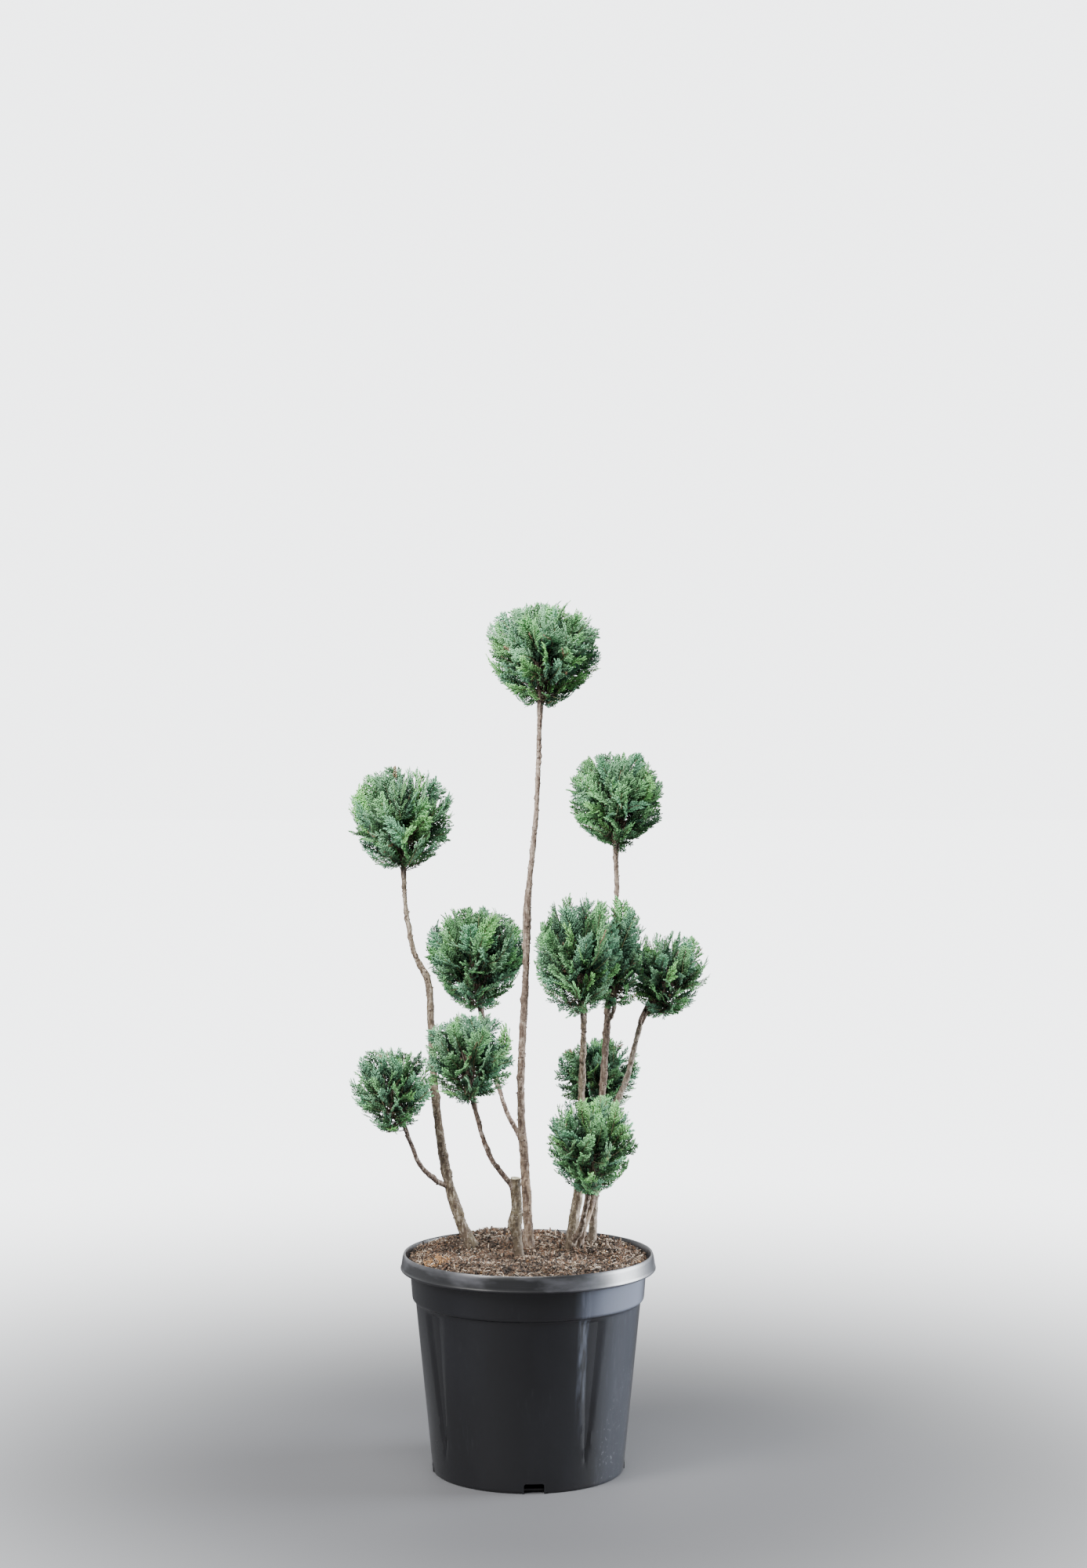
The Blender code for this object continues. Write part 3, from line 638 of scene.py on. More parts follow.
# Partly real scuffs and partly painted glints: the scuffs are drawn only on the lit right side.
plastic.coat((0.090, 0.096, 0.110), sheen_side, patches, scuffs)
plastic.coat((0.0085, 0.0088, 0.0100), plastic.spread(collar, 0.0, 1.0, 0.0, 0.8))
plastic.coat((0.070, 0.071, 0.081), collar, plastic.spread(worn, 0.47, 0.60, 0.0, 0.9))
plastic.coat((0.045, 0.047, 0.052), collar, plastic.spread(rings, 0.56, 0.76, 0.0, 0.35))
plastic.coat((0.060, 0.056, 0.052), dust, plastic.spread(haze, 0.48, 0.64, 0.0, 0.35))
plastic.dull(haze, 0.27, 0.38)
plastic.relief(rubs_and_sheen, 0.08, 0.0003)
show("pot_shell", pot_mesh, [plastic.material], "pot", "pot")

# %% [markdown]
# ## The limbs
#
# Six stems rise from the mulch, and six boughs leave them. The stations are the ones that
# the solids were made from: height, right, back and thickness, all in millimetres. One smooth
# curve runs through each row of stations.

# %% Stations of the limbs
SOIL_LEVEL = 295.5 * MM
TRUNKS = {
    "trunk_left": [
        (296, -78, 35, 17.5), (330, -93, 35, 16), (395, -113, 36, 14.6), (490, -128, 38, 12),
        (612, -136, 38, 10.9), (666, -140, 40, 10.9), (705, -159, 40, 8), (770, -171, 44, 6.8),
        (814, -174, 45, 6.5),
    ],
    "trunk_stub": [
        (296, -12, -40, 12), (324, -15, -40, 13.6), (344, -17, -40, 18.8), (366, -16, -40, 14.6),
        (404, -17, -40, 15),
    ],
    "trunk_centre": [
        (296, 1, 30, 15), (361, -2, 30, 14), (426, -6, 30, 13), (481, -10, 32, 12.3),
        (546, -10, 33, 11.3), (690, -3, 34, 10.6), (766, -2, 32, 12.6), (790, 0, 32, 9.6),
        (903, 11, 30, 7.6), (1042, 16, 30, 7.4),
    ],
    "trunk_right_front": [
        (296, 57, 17, 15), (342, 64, 19, 14.5), (386, 70.5, 18, 12.5), (441, 73, 11, 10.5),
        (508, 73.5, 0, 9.5), (586, 75.5, -20, 9), (625, 76, -32, 8.6),
    ],
    "trunk_right_middle": [
        (296, 69, 36, 12.6), (330, 78, 36, 12.4), (361, 88.5, 37, 12), (437, 96, 41, 11.3),
        (507, 103, 46, 10.5), (620, 111, 58, 10.2), (697, 117, 70, 8.5), (773, 124, 83, 7.2),
        (845, 123, 90, 7),
    ],
    "trunk_right_back": [
        (296, 89, 72, 11.5), (363, 94, 68, 10.5), (433, 105, 60, 9.8), (488, 120.5, 56, 9.2),
        (525, 136, 54, 8.6), (572, 148, 52, 8), (612.5, 158, 50, 7.4),
    ],
}
BOUGHS = {
    "bough_left_low": [
        (380, -109, 36, 8), (390, -127, 25, 7.6), (416, -150, 6, 7), (441, -159, -6, 6.6),
        (464.5, -168, -15, 6),
    ],
    "bough_middle_front": [
        (384, -16, -40, 8.6), (396, -23, -43, 8), (411, -34, -50, 7.6), (433, -49, -60, 7.4),
        (464, -61, -68, 7.2), (511, -73, -80, 7),
    ],
    "bough_middle_back": [
        (438, -7, 31, 7.5), (455, -15, 37, 7.4), (480, -29, 46, 7.2), (508, -39, 54, 7.1),
        (559, -52.5, 67, 7), (618, -67, 80, 7),
    ],
    "bough_right_inner": [
        (596, 109, 56, 7), (610, 112, 45, 6.6), (626, 118, 22, 6.2), (638, 120, 11, 6),
    ],
    "bough_right_back": [
        (414, 94, 40, 7), (428, 92, 54, 6.8), (450, 95, 82, 6.5), (473, 98, 101, 6.3),
    ],
    "bough_right_low": [
        (306, 59, 17, 9.5), (325, 71, 2, 9.2), (350, 76.5, -16, 8.8), (384, 82, -42, 7.6),
    ],
}


def smooth_path(stations, spacing):
    """Places and radii along one smooth curve through the stations."""
    points = [Vector((right, back, height)) * MM for height, right, back, _ in stations]
    radii = [thickness * MM / 2 for *_, thickness in stations]
    last = len(points) - 1
    headings = []
    for index, point in enumerate(points):
        before = points[max(index - 1, 0)]
        after = points[min(index + 1, last)]
        headings.append((after - before) / ((after - point).length + (point - before).length))
    places = []
    widths = []
    for index in range(last):
        start = points[index]
        end = points[index + 1]
        length = (end - start).length
        pieces = max(1, round(length / spacing))
        for piece in range(pieces):
            t = piece / pieces
            places.append(
                start * (1 + 2 * t) * (1 - t) ** 2
                + headings[index] * length * t * (1 - t) ** 2
                + end * t * t * (3 - 2 * t)
                + headings[index + 1] * length * t * t * (t - 1)
            )
            widths.append(radii[index] + (radii[index + 1] - radii[index]) * t)
    places.append(points[last])
    widths.append(radii[last])
    return np.array(places), np.array(widths)


LIMBS = {**TRUNKS, **BOUGHS}
coarse = {name: smooth_path(stations, 32 * MM) for name, stations in LIMBS.items()}
print(len(LIMBS), "limbs,", round(sum(row[-1][0] - row[0][0] for row in LIMBS.values())), "mm of height")

# %% [markdown]
# Bark relief has five kinds of form. Long ridges run along the limb, fine rings run round it,
# lumps make it uneven, a fine grain covers it, and here and there a knot marks where a twig
# was cut off. A sheet of small faces rolled round the path can carry all of them: each corner
# is pushed out or in by the sum of the five.
#
# A trunk widens where it meets the ground, and a bough where it leaves its trunk. The tip
# draws in where the stem forks into twigs.

# %% Rolled bark skins
BARK_SPACING = 1.15 * MM
BARK_SIDES = 34
BARK_INSET = 0.4 * MM
BARK_FORMS = {
    "ridges": (0.42 * MM, (2.4 * MM, 2.4 * MM, 8.0 * MM), True),
    "rings": (0.30 * MM, (9 * MM, 9 * MM, 2.6 * MM), False),
    "lumps": (0.80 * MM, (9 * MM, 9 * MM, 14 * MM), True),
    "grain": (0.24 * MM, (1.8 * MM, 1.8 * MM, 1.8 * MM), False),
}
PLAIN_RADIUS = 7 * MM
ROUGH_BARK = 1.5
KNOT_SPACING = 14 * MM
KNOT_WIDTHS_MM = (1.6, 4.2)
KNOT_HEIGHTS = (0.35, 0.65)
KNOT_PIT = 0.45
STUB_KNOB = (48 * MM, 0.0, 6.5 * MM, 2.2 * MM)
FLARE = 0.22
FLARE_HEIGHT = 12 * MM
COLLAR_SWELL = 0.35
COLLAR_LENGTH = 9 * MM
TIP_DRAW = 0.42
TIP_LENGTH = 9 * MM


def frames_along(places):
    """At each place of a path: its heading, and two directions across it."""
    heading = np.gradient(places, axis=0)
    heading /= np.linalg.norm(heading, axis=1)[:, None]
    side = np.cross(heading, (0, 1, 0))
    side /= np.linalg.norm(side, axis=1)[:, None]
    return heading, side, np.cross(heading, side)


def knots_of(name, length, chance):
    """Where twigs were cut off: distance along, turn, width and height of each knot."""
    count = max(3, round(length / KNOT_SPACING))
    knots = []
    for index in range(count):
        along = length * (index + chance.uniform(0.1, 0.9)) / count
        width = chance.uniform(*KNOT_WIDTHS_MM) * MM
        turn = chance.uniform(-math.pi, math.pi)
        knots.append((along, turn, width, width * chance.uniform(*KNOT_HEIGHTS)))
    if name == "trunk_stub":
        knots.append(STUB_KNOB)
    return knots


def bark_relief(along, turn, radius, knots, seed, rough):
    """How far each place of the skin stands out from the smooth limb."""
    where = np.stack([np.cos(turn) * radius, np.sin(turn) * radius, along], axis=1)
    relief = np.zeros(len(where))
    for step, (depth, size, grows) in enumerate(BARK_FORMS.values()):
        girth = radius / PLAIN_RADIUS if grows else 1
        relief += depth * girth * cloud(where, size, seed + step)
    relief = relief * rough - BARK_INSET
    for knot_along, knot_turn, width, height in knots:
        off = (turn - knot_turn + math.pi) % (2 * math.pi) - math.pi
        far = np.hypot(along - knot_along, off * radius) / width
        relief += height * (np.exp(-far * far) - KNOT_PIT * np.exp(-far * far * 9))
    return relief


def limb_skin(name, stations, seed):
    """A grid of faces rolled round the limb's path, with bark relief, and the path itself."""
    places, radii = smooth_path(stations, BARK_SPACING)
    _, side, other = frames_along(places)
    steps = np.linalg.norm(np.diff(places, axis=0), axis=1)
    distance = np.concatenate([[0], np.cumsum(steps)])
    if name in TRUNKS:
        radii = radii * (1 + FLARE * np.exp(-np.maximum(places[:, 2] - SOIL_LEVEL, 0) / FLARE_HEIGHT))
    else:
        radii = radii * (1 + COLLAR_SWELL * np.exp(-((distance / COLLAR_LENGTH) ** 2)))
    if name != "trunk_stub":
        from_tip = np.clip((distance - distance[-1]) / TIP_LENGTH + 1, 0, 1)
        radii = radii * (1 - TIP_DRAW * from_tip ** 2)
    knots = knots_of(name, distance[-1], random.Random(seed))
    rings = len(places) - 1
    bm = bmesh.new()
    bmesh.ops.create_grid(bm, x_segments=rings, y_segments=BARK_SIDES, size=0.5)
    flat = np.array([vertex.co for vertex in bm.verts])
    ring = np.rint((flat[:, 0] + 0.5) * rings).astype(int)
    turn = 2 * math.pi * (np.rint((flat[:, 1] + 0.5) * BARK_SIDES) % BARK_SIDES) / BARK_SIDES
    rough = ROUGH_BARK if name.startswith("trunk_right") else 1
    out = radii[ring] + bark_relief(distance[ring], turn, radii[ring], knots, seed, rough)
    rolled = places[ring] + side[ring] * (np.cos(turn) * out)[:, None]
    rolled += other[ring] * (np.sin(turn) * out)[:, None]
    for vertex, place in zip(bm.verts, rolled):
        vertex.co = place
    bmesh.ops.remove_doubles(bm, verts=bm.verts, dist=0.001 * MM)
    close_ends(bm)
    mesh = mesh_of(bm, name + "_bark")
    mesh.shade_smooth()
    mesh.set_sharp_from_angle(angle=math.radians(60))
    return mesh, places, radii, distance


print("a skin has", BARK_SIDES, "sides, and a ring every", round(BARK_SPACING / MM, 2), "mm")

# %% [markdown]
# Cypress bark is thin. Young wood is smooth and pinkish brown, older wood greys, peels in
# narrow strips and gathers green algae and pale lichen near the ground. One recipe makes all
# of these: only its colours, how far up the algae climbs, how much lichen there is and how
# soiled the foot is change from limb to limb.

# %% Bark finishes
SOILED = (0.052, 0.034, 0.021)
LICHEN = (0.50, 0.49, 0.43)


def bark_finish(name, dark, middle, pale, moss_top, moss, lichen=0.0, soiled=0.5):
    """Bark whose strips, clouds, pores, pits and flecks are dark or pale coats on one colour."""
    finish = Finish(name, middle, 0.82)
    strips = finish.pattern(STREAKS, Across=320.0, Along=95.0, Detail=6.0)
    pores = finish.pattern(STREAKS, Across=150.0, Along=430.0, Detail=5.0)
    clouds = finish.pattern(STREAKS, Across=62.0, Along=40.0, Detail=5.0)
    flecks = finish.pattern(SPECKS, Scale=420.0, Detail=3.0, From=0.58, To=0.68)
    pits = finish.pattern(SPECKS, Scale=260.0, Detail=4.0, From=0.58, To=0.70)
    low = finish.height_above(moss_top - 0.12, moss_top, 1.0, 0.0)
    foot = finish.height_above(0.298, 0.345, soiled, 0.0)
    finish.coat(dark, finish.spread(clouds, 0.50, 0.34, 0.0, 0.55))
    finish.coat(pale, finish.spread(clouds, 0.54, 0.72, 0.0, 0.55))
    finish.coat(pale, finish.height_above(0.60, 0.90, 0.0, 0.26))
    finish.coat(moss, low, finish.spread(clouds, 0.36, 0.56, 0.0, 0.8))
    finish.coat(dark, finish.spread(strips, 0.50, 0.37, 0.0, 0.9))
    finish.coat(pale, finish.spread(strips, 0.55, 0.68, 0.0, 0.85))
    finish.coat(pale, finish.spread(pores, 0.60, 0.74, 0.0, 0.45))
    finish.coat(dark, finish.spread(pits, 0.0, 1.0, 0.0, 0.95))
    finish.coat(pale, flecks, finish.spread(clouds, 0.35, 0.60, 0.1, 0.9))
    finish.coat(SOILED, foot, finish.spread(clouds, 0.28, 0.50, 0.4, 1.0))
    if lichen:
        scabs = finish.pattern(SPECKS, Scale=230.0, Detail=4.0, From=0.60, To=0.66)
        finish.coat(LICHEN, finish.spread(scabs, 0.0, 1.0, 0.0, lichen))
    finish.dull(strips, 0.70, 0.92)
    finish.relief(strips, 0.8, 0.0008)
    return finish.material


GREY_BARK = bark_finish("grey_bark", (0.050, 0.031, 0.020), (0.163, 0.122, 0.083),
                        (0.43, 0.37, 0.300), 0.46, (0.116, 0.096, 0.052))
RED_BARK = bark_finish("red_bark", (0.058, 0.034, 0.024), (0.136, 0.094, 0.070),
                       (0.42, 0.34, 0.280), 0.50, (0.310, 0.222, 0.150))
MOSSY_BARK = bark_finish("mossy_bark", (0.034, 0.022, 0.012), (0.084, 0.059, 0.035),
                         (0.25, 0.212, 0.160), 0.48, (0.076, 0.060, 0.030), 0.12, 0.9)
PALE_BARK = bark_finish("pale_bark", (0.060, 0.042, 0.030), (0.176, 0.138, 0.105),
                        (0.43, 0.38, 0.325), 0.42, (0.132, 0.112, 0.074), 0.25)
YOUNG_BARK = bark_finish("young_bark", (0.058, 0.035, 0.026), (0.184, 0.130, 0.100),
                         (0.46, 0.39, 0.340), 0.44, (0.130, 0.100, 0.064))
BARK_OF = {
    "trunk_left": GREY_BARK, "trunk_stub": MOSSY_BARK, "trunk_centre": RED_BARK,
    "trunk_right_front": GREY_BARK, "trunk_right_middle": RED_BARK, "trunk_right_back": PALE_BARK,
}
print("barks:", [bark.name for bark in (GREY_BARK, RED_BARK, MOSSY_BARK, PALE_BARK, YOUNG_BARK)])

# %% Make every limb
FIRST_LIMB_SEED = 47
LIMB_SEED_STEP = 7
limb_tracks = {}
for number, (name, stations) in enumerate(LIMBS.items()):
    mesh, *track = limb_skin(name, stations, FIRST_LIMB_SEED + LIMB_SEED_STEP * number)
    limb_tracks[name] = track
    show(name + "_bark", mesh, [BARK_OF.get(name, YOUNG_BARK)], "bark", name)

# %% [markdown]
# Where twigs were clipped off, a few short spurs are left. Each is a tapered peg of six
# sides that leans along its limb. The thick stub in front ends in a sawn face: a paler disc,
# slightly crowned, with rings.

# %% Spurs and the sawn face
SPUR_SPACING = 12 * MM
SPUR_LENGTHS_MM = (0.5, 1.8)
SPUR_WIDTHS_MM = (0.8, 1.7)
SPUR_SUNK = 0.8 * MM
SAWN_SHARE = 0.93
SAWN_BEVEL = 1.2 * MM
SAWN_CROWN = 0.35 * MM
SAWN_THICKNESS = 1.0 * MM
SAWN_TILT = Quaternion((0.8, 0.6, 0), math.radians(9))


def make_spurs():
    """Short tapered pegs all along the limbs, leaning towards the limbs' tips."""
    chance = random.Random(5)
    bm = bmesh.new()
    for places, radii, distance in limb_tracks.values():
        for _ in range(max(2, round(distance[-1] / SPUR_SPACING))):
            ring = int(chance.uniform(0.08, 0.97) * (len(places) - 1))
            heading, side, other = (row[ring] for row in frames_along(places))
            turn = chance.uniform(-math.pi, math.pi)
            out = Vector(side * math.cos(turn) + other * math.sin(turn))
            lean = (out + Vector(heading) * chance.uniform(0.2, 1.0)).normalized()
            length = chance.uniform(*SPUR_LENGTHS_MM) * MM
            width = chance.uniform(*SPUR_WIDTHS_MM) * MM
            made = bmesh.ops.create_cone(bm, cap_ends=True, segments=6, radius1=width * 1.3,
                                         radius2=width * 0.8, depth=length + SPUR_SUNK)
            middle = Vector(places[ring]) + out * (radii[ring] - SPUR_SUNK) + lean * length / 2
            turned_to = Matrix.LocRotScale(middle, lean.to_track_quat("Z", "Y"), None)
            bmesh.ops.transform(bm, matrix=turned_to, verts=made["verts"])
    return mesh_of(bm, "clipped_spurs")


def make_sawn_face(top, radius):
    """A thin crowned disc on the stub's cut end."""
    bm = bmesh.new()
    bmesh.ops.create_circle(bm, cap_ends=True, cap_tris=False, segments=36, radius=radius * SAWN_SHARE)
    bmesh.ops.inset_region(bm, faces=list(bm.faces), thickness=SAWN_BEVEL, depth=SAWN_CROWN)
    lower = bmesh.ops.extrude_face_region(bm, geom=list(bm.faces))
    lowered = [item for item in lower["geom"] if isinstance(item, bmesh.types.BMVert)]
    bmesh.ops.translate(bm, vec=(0, 0, -SAWN_THICKNESS), verts=lowered)
    bmesh.ops.recalc_face_normals(bm, faces=bm.faces)
    place = Matrix.LocRotScale(Vector(top) + Vector((0, 0, SAWN_THICKNESS / 2)), SAWN_TILT, None)
    bmesh.ops.transform(bm, matrix=place, verts=bm.verts)
    return mesh_of(bm, "sawn_face")


show("clipped_spurs", make_spurs(), [YOUNG_BARK], "bark")

sawn = Finish("sawn_wood", (0.40, 0.36, 0.26), 0.75)
sawn_rings = sawn.pattern(STREAKS, Across=900.0, Along=60.0, Detail=3.0)
sawn.coat((0.25, 0.23, 0.17), sawn.spread(sawn_rings, 0.50, 0.66))
sawn.coat((0.50, 0.49, 0.38), sawn.pattern(SPECKS, Scale=240.0, Detail=3.0, From=0.52, To=0.64))
sawn.relief(sawn_rings, 0.4, 0.0005)
stub_places, stub_radii, _ = limb_tracks["trunk_stub"]
show("sawn_face", make_sawn_face(stub_places[-1], stub_radii[-1]), [sawn.material], "bark")

# %% [markdown]
# ## The mulch
#
# The pot is filled to its rim with composted bark: brown crumbs, some black, with pale
# fibres through it. It could be one rough surface, but shavings that lie across each other
# and throw small shadows are what the eye reads as mulch. So a rough bed is made first, and
# thousands of small flakes, crumbs and fibres are then strewn on it.

# %% The bed
SOIL_EDGE_LEVEL = 288.5 * MM
SOIL_FLAT_RADIUS = 128 * MM
BED_RADIUS = 165.0 * MM
BED_RINGS = 66
BED_STEPS = 200
BED_TOP = POT_HEIGHT + 8 * MM
BED_FOOT_HEIGHT = 24 * MM
MOUND_PLACE = (-52 * MM, 108 * MM)
MOUND_HEIGHT = 8.0 * MM
MOUND_RADIUS = 58 * MM
HILLS = ((2.3 * MM, 34 * MM), (1.9 * MM, 12 * MM), (0.9 * MM, 4.5 * MM))
HILL_SEED = 3


def bed_height(places):
    """Height of the mulch at places across the pot: a low mound with hollows and clods."""
    x, y = places[:, 0], places[:, 1]
    level = np.stack([x, y, np.zeros(len(places))], axis=1)
    edge = np.clip((np.hypot(x, y) - SOIL_FLAT_RADIUS) / (BED_RADIUS - SOIL_FLAT_RADIUS), 0, 1)
    height = SOIL_LEVEL + (SOIL_EDGE_LEVEL - SOIL_LEVEL) * edge ** 1.6
    away = (x - MOUND_PLACE[0]) ** 2 + (y - MOUND_PLACE[1]) ** 2
    height += MOUND_HEIGHT * np.exp(-away / MOUND_RADIUS ** 2)
    for step, (rise, size) in enumerate(HILLS):
        height += rise * cloud(level, size, HILL_SEED + step)
    return np.minimum(height, BED_TOP)


bed_line = [(BED_RADIUS * n / BED_RINGS, SOIL_LEVEL) for n in range(BED_RINGS + 1)]
bed_line += [
    (156 * MM, 262 * MM),
    (BODY_TOP_RADIUS - POT_WALL - 1.5 * MM, BODY_TOP_HEIGHT - 4 * MM),
    (body_radius(BED_FOOT_HEIGHT) - POT_WALL - 2 * MM, BED_FOOT_HEIGHT),
    (106 * MM, BED_FOOT_HEIGHT - 2 * MM),
    (100 * MM, FLOOR_THICKNESS + 1 * MM),
    (0, FLOOR_THICKNESS + 1 * MM),
]
bed_bm = spun(bed_line, BED_STEPS)
top_verts = [vertex for vertex in bed_bm.verts if vertex.co.z > SOIL_LEVEL - 0.1 * MM]
for vertex, height in zip(top_verts, bed_height(np.array([vertex.co for vertex in top_verts]))):
    vertex.co.z = height
bed_mesh = mesh_of(bed_bm, "mulch_bed")
bed_mesh.shade_smooth()
bed_finish = Finish("damp_mulch", (0.035, 0.022, 0.016), 0.95)
bed_grain = bed_finish.pattern(STREAKS, Across=260.0, Along=260.0, Detail=7.0)
bed_finish.coat((0.010, 0.006, 0.005), bed_finish.spread(bed_grain, 0.52, 0.38))
bed_finish.coat((0.100, 0.064, 0.046), bed_finish.spread(bed_grain, 0.58, 0.72))
bed_finish.relief(bed_grain, 0.9, 0.002)
show("mulch_bed", bed_mesh, [bed_finish.material], "mulch", "mulch")

# %% [markdown]
# One flake is a cube with its corners pulled about, and six such shapes are enough for
# thousands of flakes, because each copy is turned and stretched differently. The copies are
# worked out as arrays: a whole heap takes less than a second.
#
# Each flake is dealt one of six browns. Towards the front, except at the far left, more flakes
# are dealt the darker browns, which is painted shade, and one small patch of fresh wood is tan.

# %% Strew flakes and crumbs
FLAKES = 7000
FLAKE_REACH = 162 * MM
FLAKE_LONGEST = 13 * MM
FLAKE_SHARES = (0.25, 0.26, 0.29, 0.11, 0.08, 0.01)
CRUMBS = 12000
CRUMB_REACH = 163 * MM
CRUMB_SHARES = (0.25, 0.29, 0.32, 0.09, 0.04, 0.01)
SHADE_FROM = 30 * MM
SHADE_DEPTH = 90 * MM
SHADE_SHARE = 0.75
SHADE_TINTS = (1, 2)
TAN_PATCH = (-124 * MM, -70 * MM)
TAN_RADIUS = 19 * MM
TAN = 5


def arrays_of(bm):
    """A bmesh of triangles as an array of corners and one of triangles. It is used up."""
    bm.verts.index_update()
    corners = np.array([vertex.co for vertex in bm.verts])
    triangles = np.array([[vertex.index for vertex in face.verts] for face in bm.faces])
    bm.free()
    return corners, triangles


def pulled_cube(seed, pull):
    """A cube with uneven corners, as corner and triangle arrays."""
    chance = random.Random(seed)
    bm = bmesh.new()
    bmesh.ops.create_cube(bm, size=1)
    for vertex in bm.verts:
        vertex.co += Vector([chance.uniform(-pull, pull) for _ in range(3)])
    bmesh.ops.triangulate(bm, faces=bm.faces)
    bmesh.ops.recalc_face_normals(bm, faces=bm.faces)
    return arrays_of(bm)


def turned(count, chance, lie_flat):
    """Random turns as matrices. Forms lie flatter as lie_flat nears 1."""
    spin = chance.uniform(0, 2 * math.pi, count)
    lean = chance.normal(0, 1, count) * (1 - lie_flat) * 1.4
    roll = chance.normal(0, 1, count) * (1 - lie_flat) * 1.4
    cs, ss = np.cos(spin), np.sin(spin)
    cl, sl = np.cos(lean), np.sin(lean)
    cr, sr = np.cos(roll), np.sin(roll)
    zero, one = np.zeros(count), np.ones(count)
    about_z = np.array([[cs, -ss, zero], [ss, cs, zero], [zero, zero, one]]).transpose(2, 0, 1)
    about_y = np.array([[cl, zero, sl], [zero, one, zero], [-sl, zero, cl]]).transpose(2, 0, 1)
    about_x = np.array([[one, zero, zero], [zero, cr, -sr], [zero, sr, cr]]).transpose(2, 0, 1)
    return about_z @ about_y @ about_x


def repeated(triangles, corner_count, copies):
    """The triangles of many copies of one shape, each copy with corners of its own."""
    return (triangles[None] + (np.arange(copies) * corner_count)[:, None, None]).reshape(-1, 3)


def joined(parts):
    """Parts made of corners, triangles and labels of triangles, as one of each."""
    all_corners, all_triangles, all_labels = zip(*parts)
    starts = np.cumsum([0] + [len(corners) for corners in all_corners])
    moved_on = [triangles + start for triangles, start in zip(all_triangles, starts)]
    return np.concatenate(all_corners), np.concatenate(moved_on), np.concatenate(all_labels)


def strew(shapes, places, turns, sizes):
    """Copies of the shapes at the places. A triangle's label is the number of its place."""
    parts = []
    for kind, (corners, triangles) in enumerate(shapes):
        chosen = np.arange(kind, len(places), len(shapes))
        moved = corners[None] * sizes[chosen][:, None, :]
        moved = np.einsum("nij,nkj->nki", turns[chosen], moved) + places[chosen][:, None, :]
        parts.append((moved.reshape(-1, 3), repeated(triangles, len(corners), len(chosen)),
                      np.repeat(chosen, len(triangles))))
    return joined(parts)


def on_bed(count, chance, reach):
    """Random places on the mulch, clear of the limbs' feet."""
    radius = reach * np.sqrt(chance.uniform(0, 1, count * 2))
    turn = chance.uniform(0, 2 * math.pi, count * 2)
    places = np.stack([radius * np.cos(turn), radius * np.sin(turn), np.zeros(count * 2)], axis=1)
    clear = np.ones(len(places), bool)
    for name in TRUNKS:
        path, radii, _ = limb_tracks[name]
        clear &= np.hypot(places[:, 0] - path[0][0], places[:, 1] - path[0][1]) > radii[0]
    places = places[clear][:count]
    places[:, 2] = bed_height(places)
    return places


def mulch_finish(name, dark, pale):
    """A flake's colour, blotched with a paler one."""
    finish = Finish(name, dark, 0.9)
    finish.coat(pale, finish.pattern(SPECKS, Scale=330.0, Detail=3.0, From=0.42, To=0.66))
    return finish.material


MULCH_TINTS = [
    mulch_finish("mulch_red_brown", (0.082, 0.041, 0.022), (0.165, 0.092, 0.055)),
    mulch_finish("mulch_brown", (0.044, 0.027, 0.017), (0.112, 0.072, 0.048)),
    mulch_finish("mulch_dark", (0.008, 0.005, 0.0035), (0.026, 0.016, 0.010)),
    mulch_finish("mulch_grey", (0.088, 0.064, 0.046), (0.200, 0.150, 0.113)),
    mulch_finish("mulch_pale", (0.250, 0.185, 0.130), (0.540, 0.440, 0.340)),
    mulch_finish("mulch_tan", (0.190, 0.095, 0.036), (0.350, 0.195, 0.085)),
]
mulch_chance = np.random.default_rng(23)
flake_places = on_bed(FLAKES, mulch_chance, FLAKE_REACH)
count = len(flake_places)
flake_sizes = np.stack([mulch_chance.lognormal(1.50, 0.50, count), mulch_chance.uniform(0.7, 2.4, count),
                        mulch_chance.uniform(0.5, 1.4, count)], axis=1) * MM
flake_sizes[:, 0] = np.minimum(flake_sizes[:, 0], FLAKE_LONGEST)
flake_places[:, 2] += 0.5 * MM + mulch_chance.uniform(0, 2.2, count) * MM
flake_shapes = [pulled_cube(seed, 0.24) for seed in range(6)]
flake_turns = turned(count, mulch_chance, 0.50)
tints = mulch_chance.choice(6, count, p=FLAKE_SHARES)
# Painted shade: towards the front, except at the far left where the light falls, more flakes take the
# darker browns.
to_front = np.clip((-flake_places[:, 1] - SHADE_FROM) / SHADE_DEPTH, 0, 1)
to_right = np.clip(flake_places[:, 0] / (80 * MM) + 1.6, 0, 1)
in_painted_shade = mulch_chance.uniform(0, 1, count) < SHADE_SHARE * (to_front * to_right)
tints = np.where(in_painted_shade, mulch_chance.choice(SHADE_TINTS, count), tints)
from_tan = np.hypot(flake_places[:, 0] - TAN_PATCH[0], flake_places[:, 1] - TAN_PATCH[1])
tints[(from_tan < TAN_RADIUS) & (mulch_chance.uniform(0, 1, count) < 0.8)] = TAN
corners, triangles, owners = strew(flake_shapes, flake_places, flake_turns, flake_sizes)
show_joined("mulch_flakes", (corners, triangles, tints[owners]), MULCH_TINTS, "mulch")

crumb_places = on_bed(CRUMBS, mulch_chance, CRUMB_REACH)
count = len(crumb_places)
crumb_sizes = mulch_chance.uniform(0.6, 2.2, (count, 3)) * MM
crumb_places[:, 2] += mulch_chance.uniform(0, 1.6, count) * MM
crumb_shapes = [pulled_cube(seed, 0.30) for seed in (11, 12, 13)]
crumb_turns = turned(count, mulch_chance, 0.0)
tints = mulch_chance.choice(6, count, p=CRUMB_SHARES)
corners, triangles, owners = strew(crumb_shapes, crumb_places, crumb_turns, crumb_sizes)
show_joined("mulch_crumbs", (corners, triangles, tints[owners]), MULCH_TINTS, "mulch")

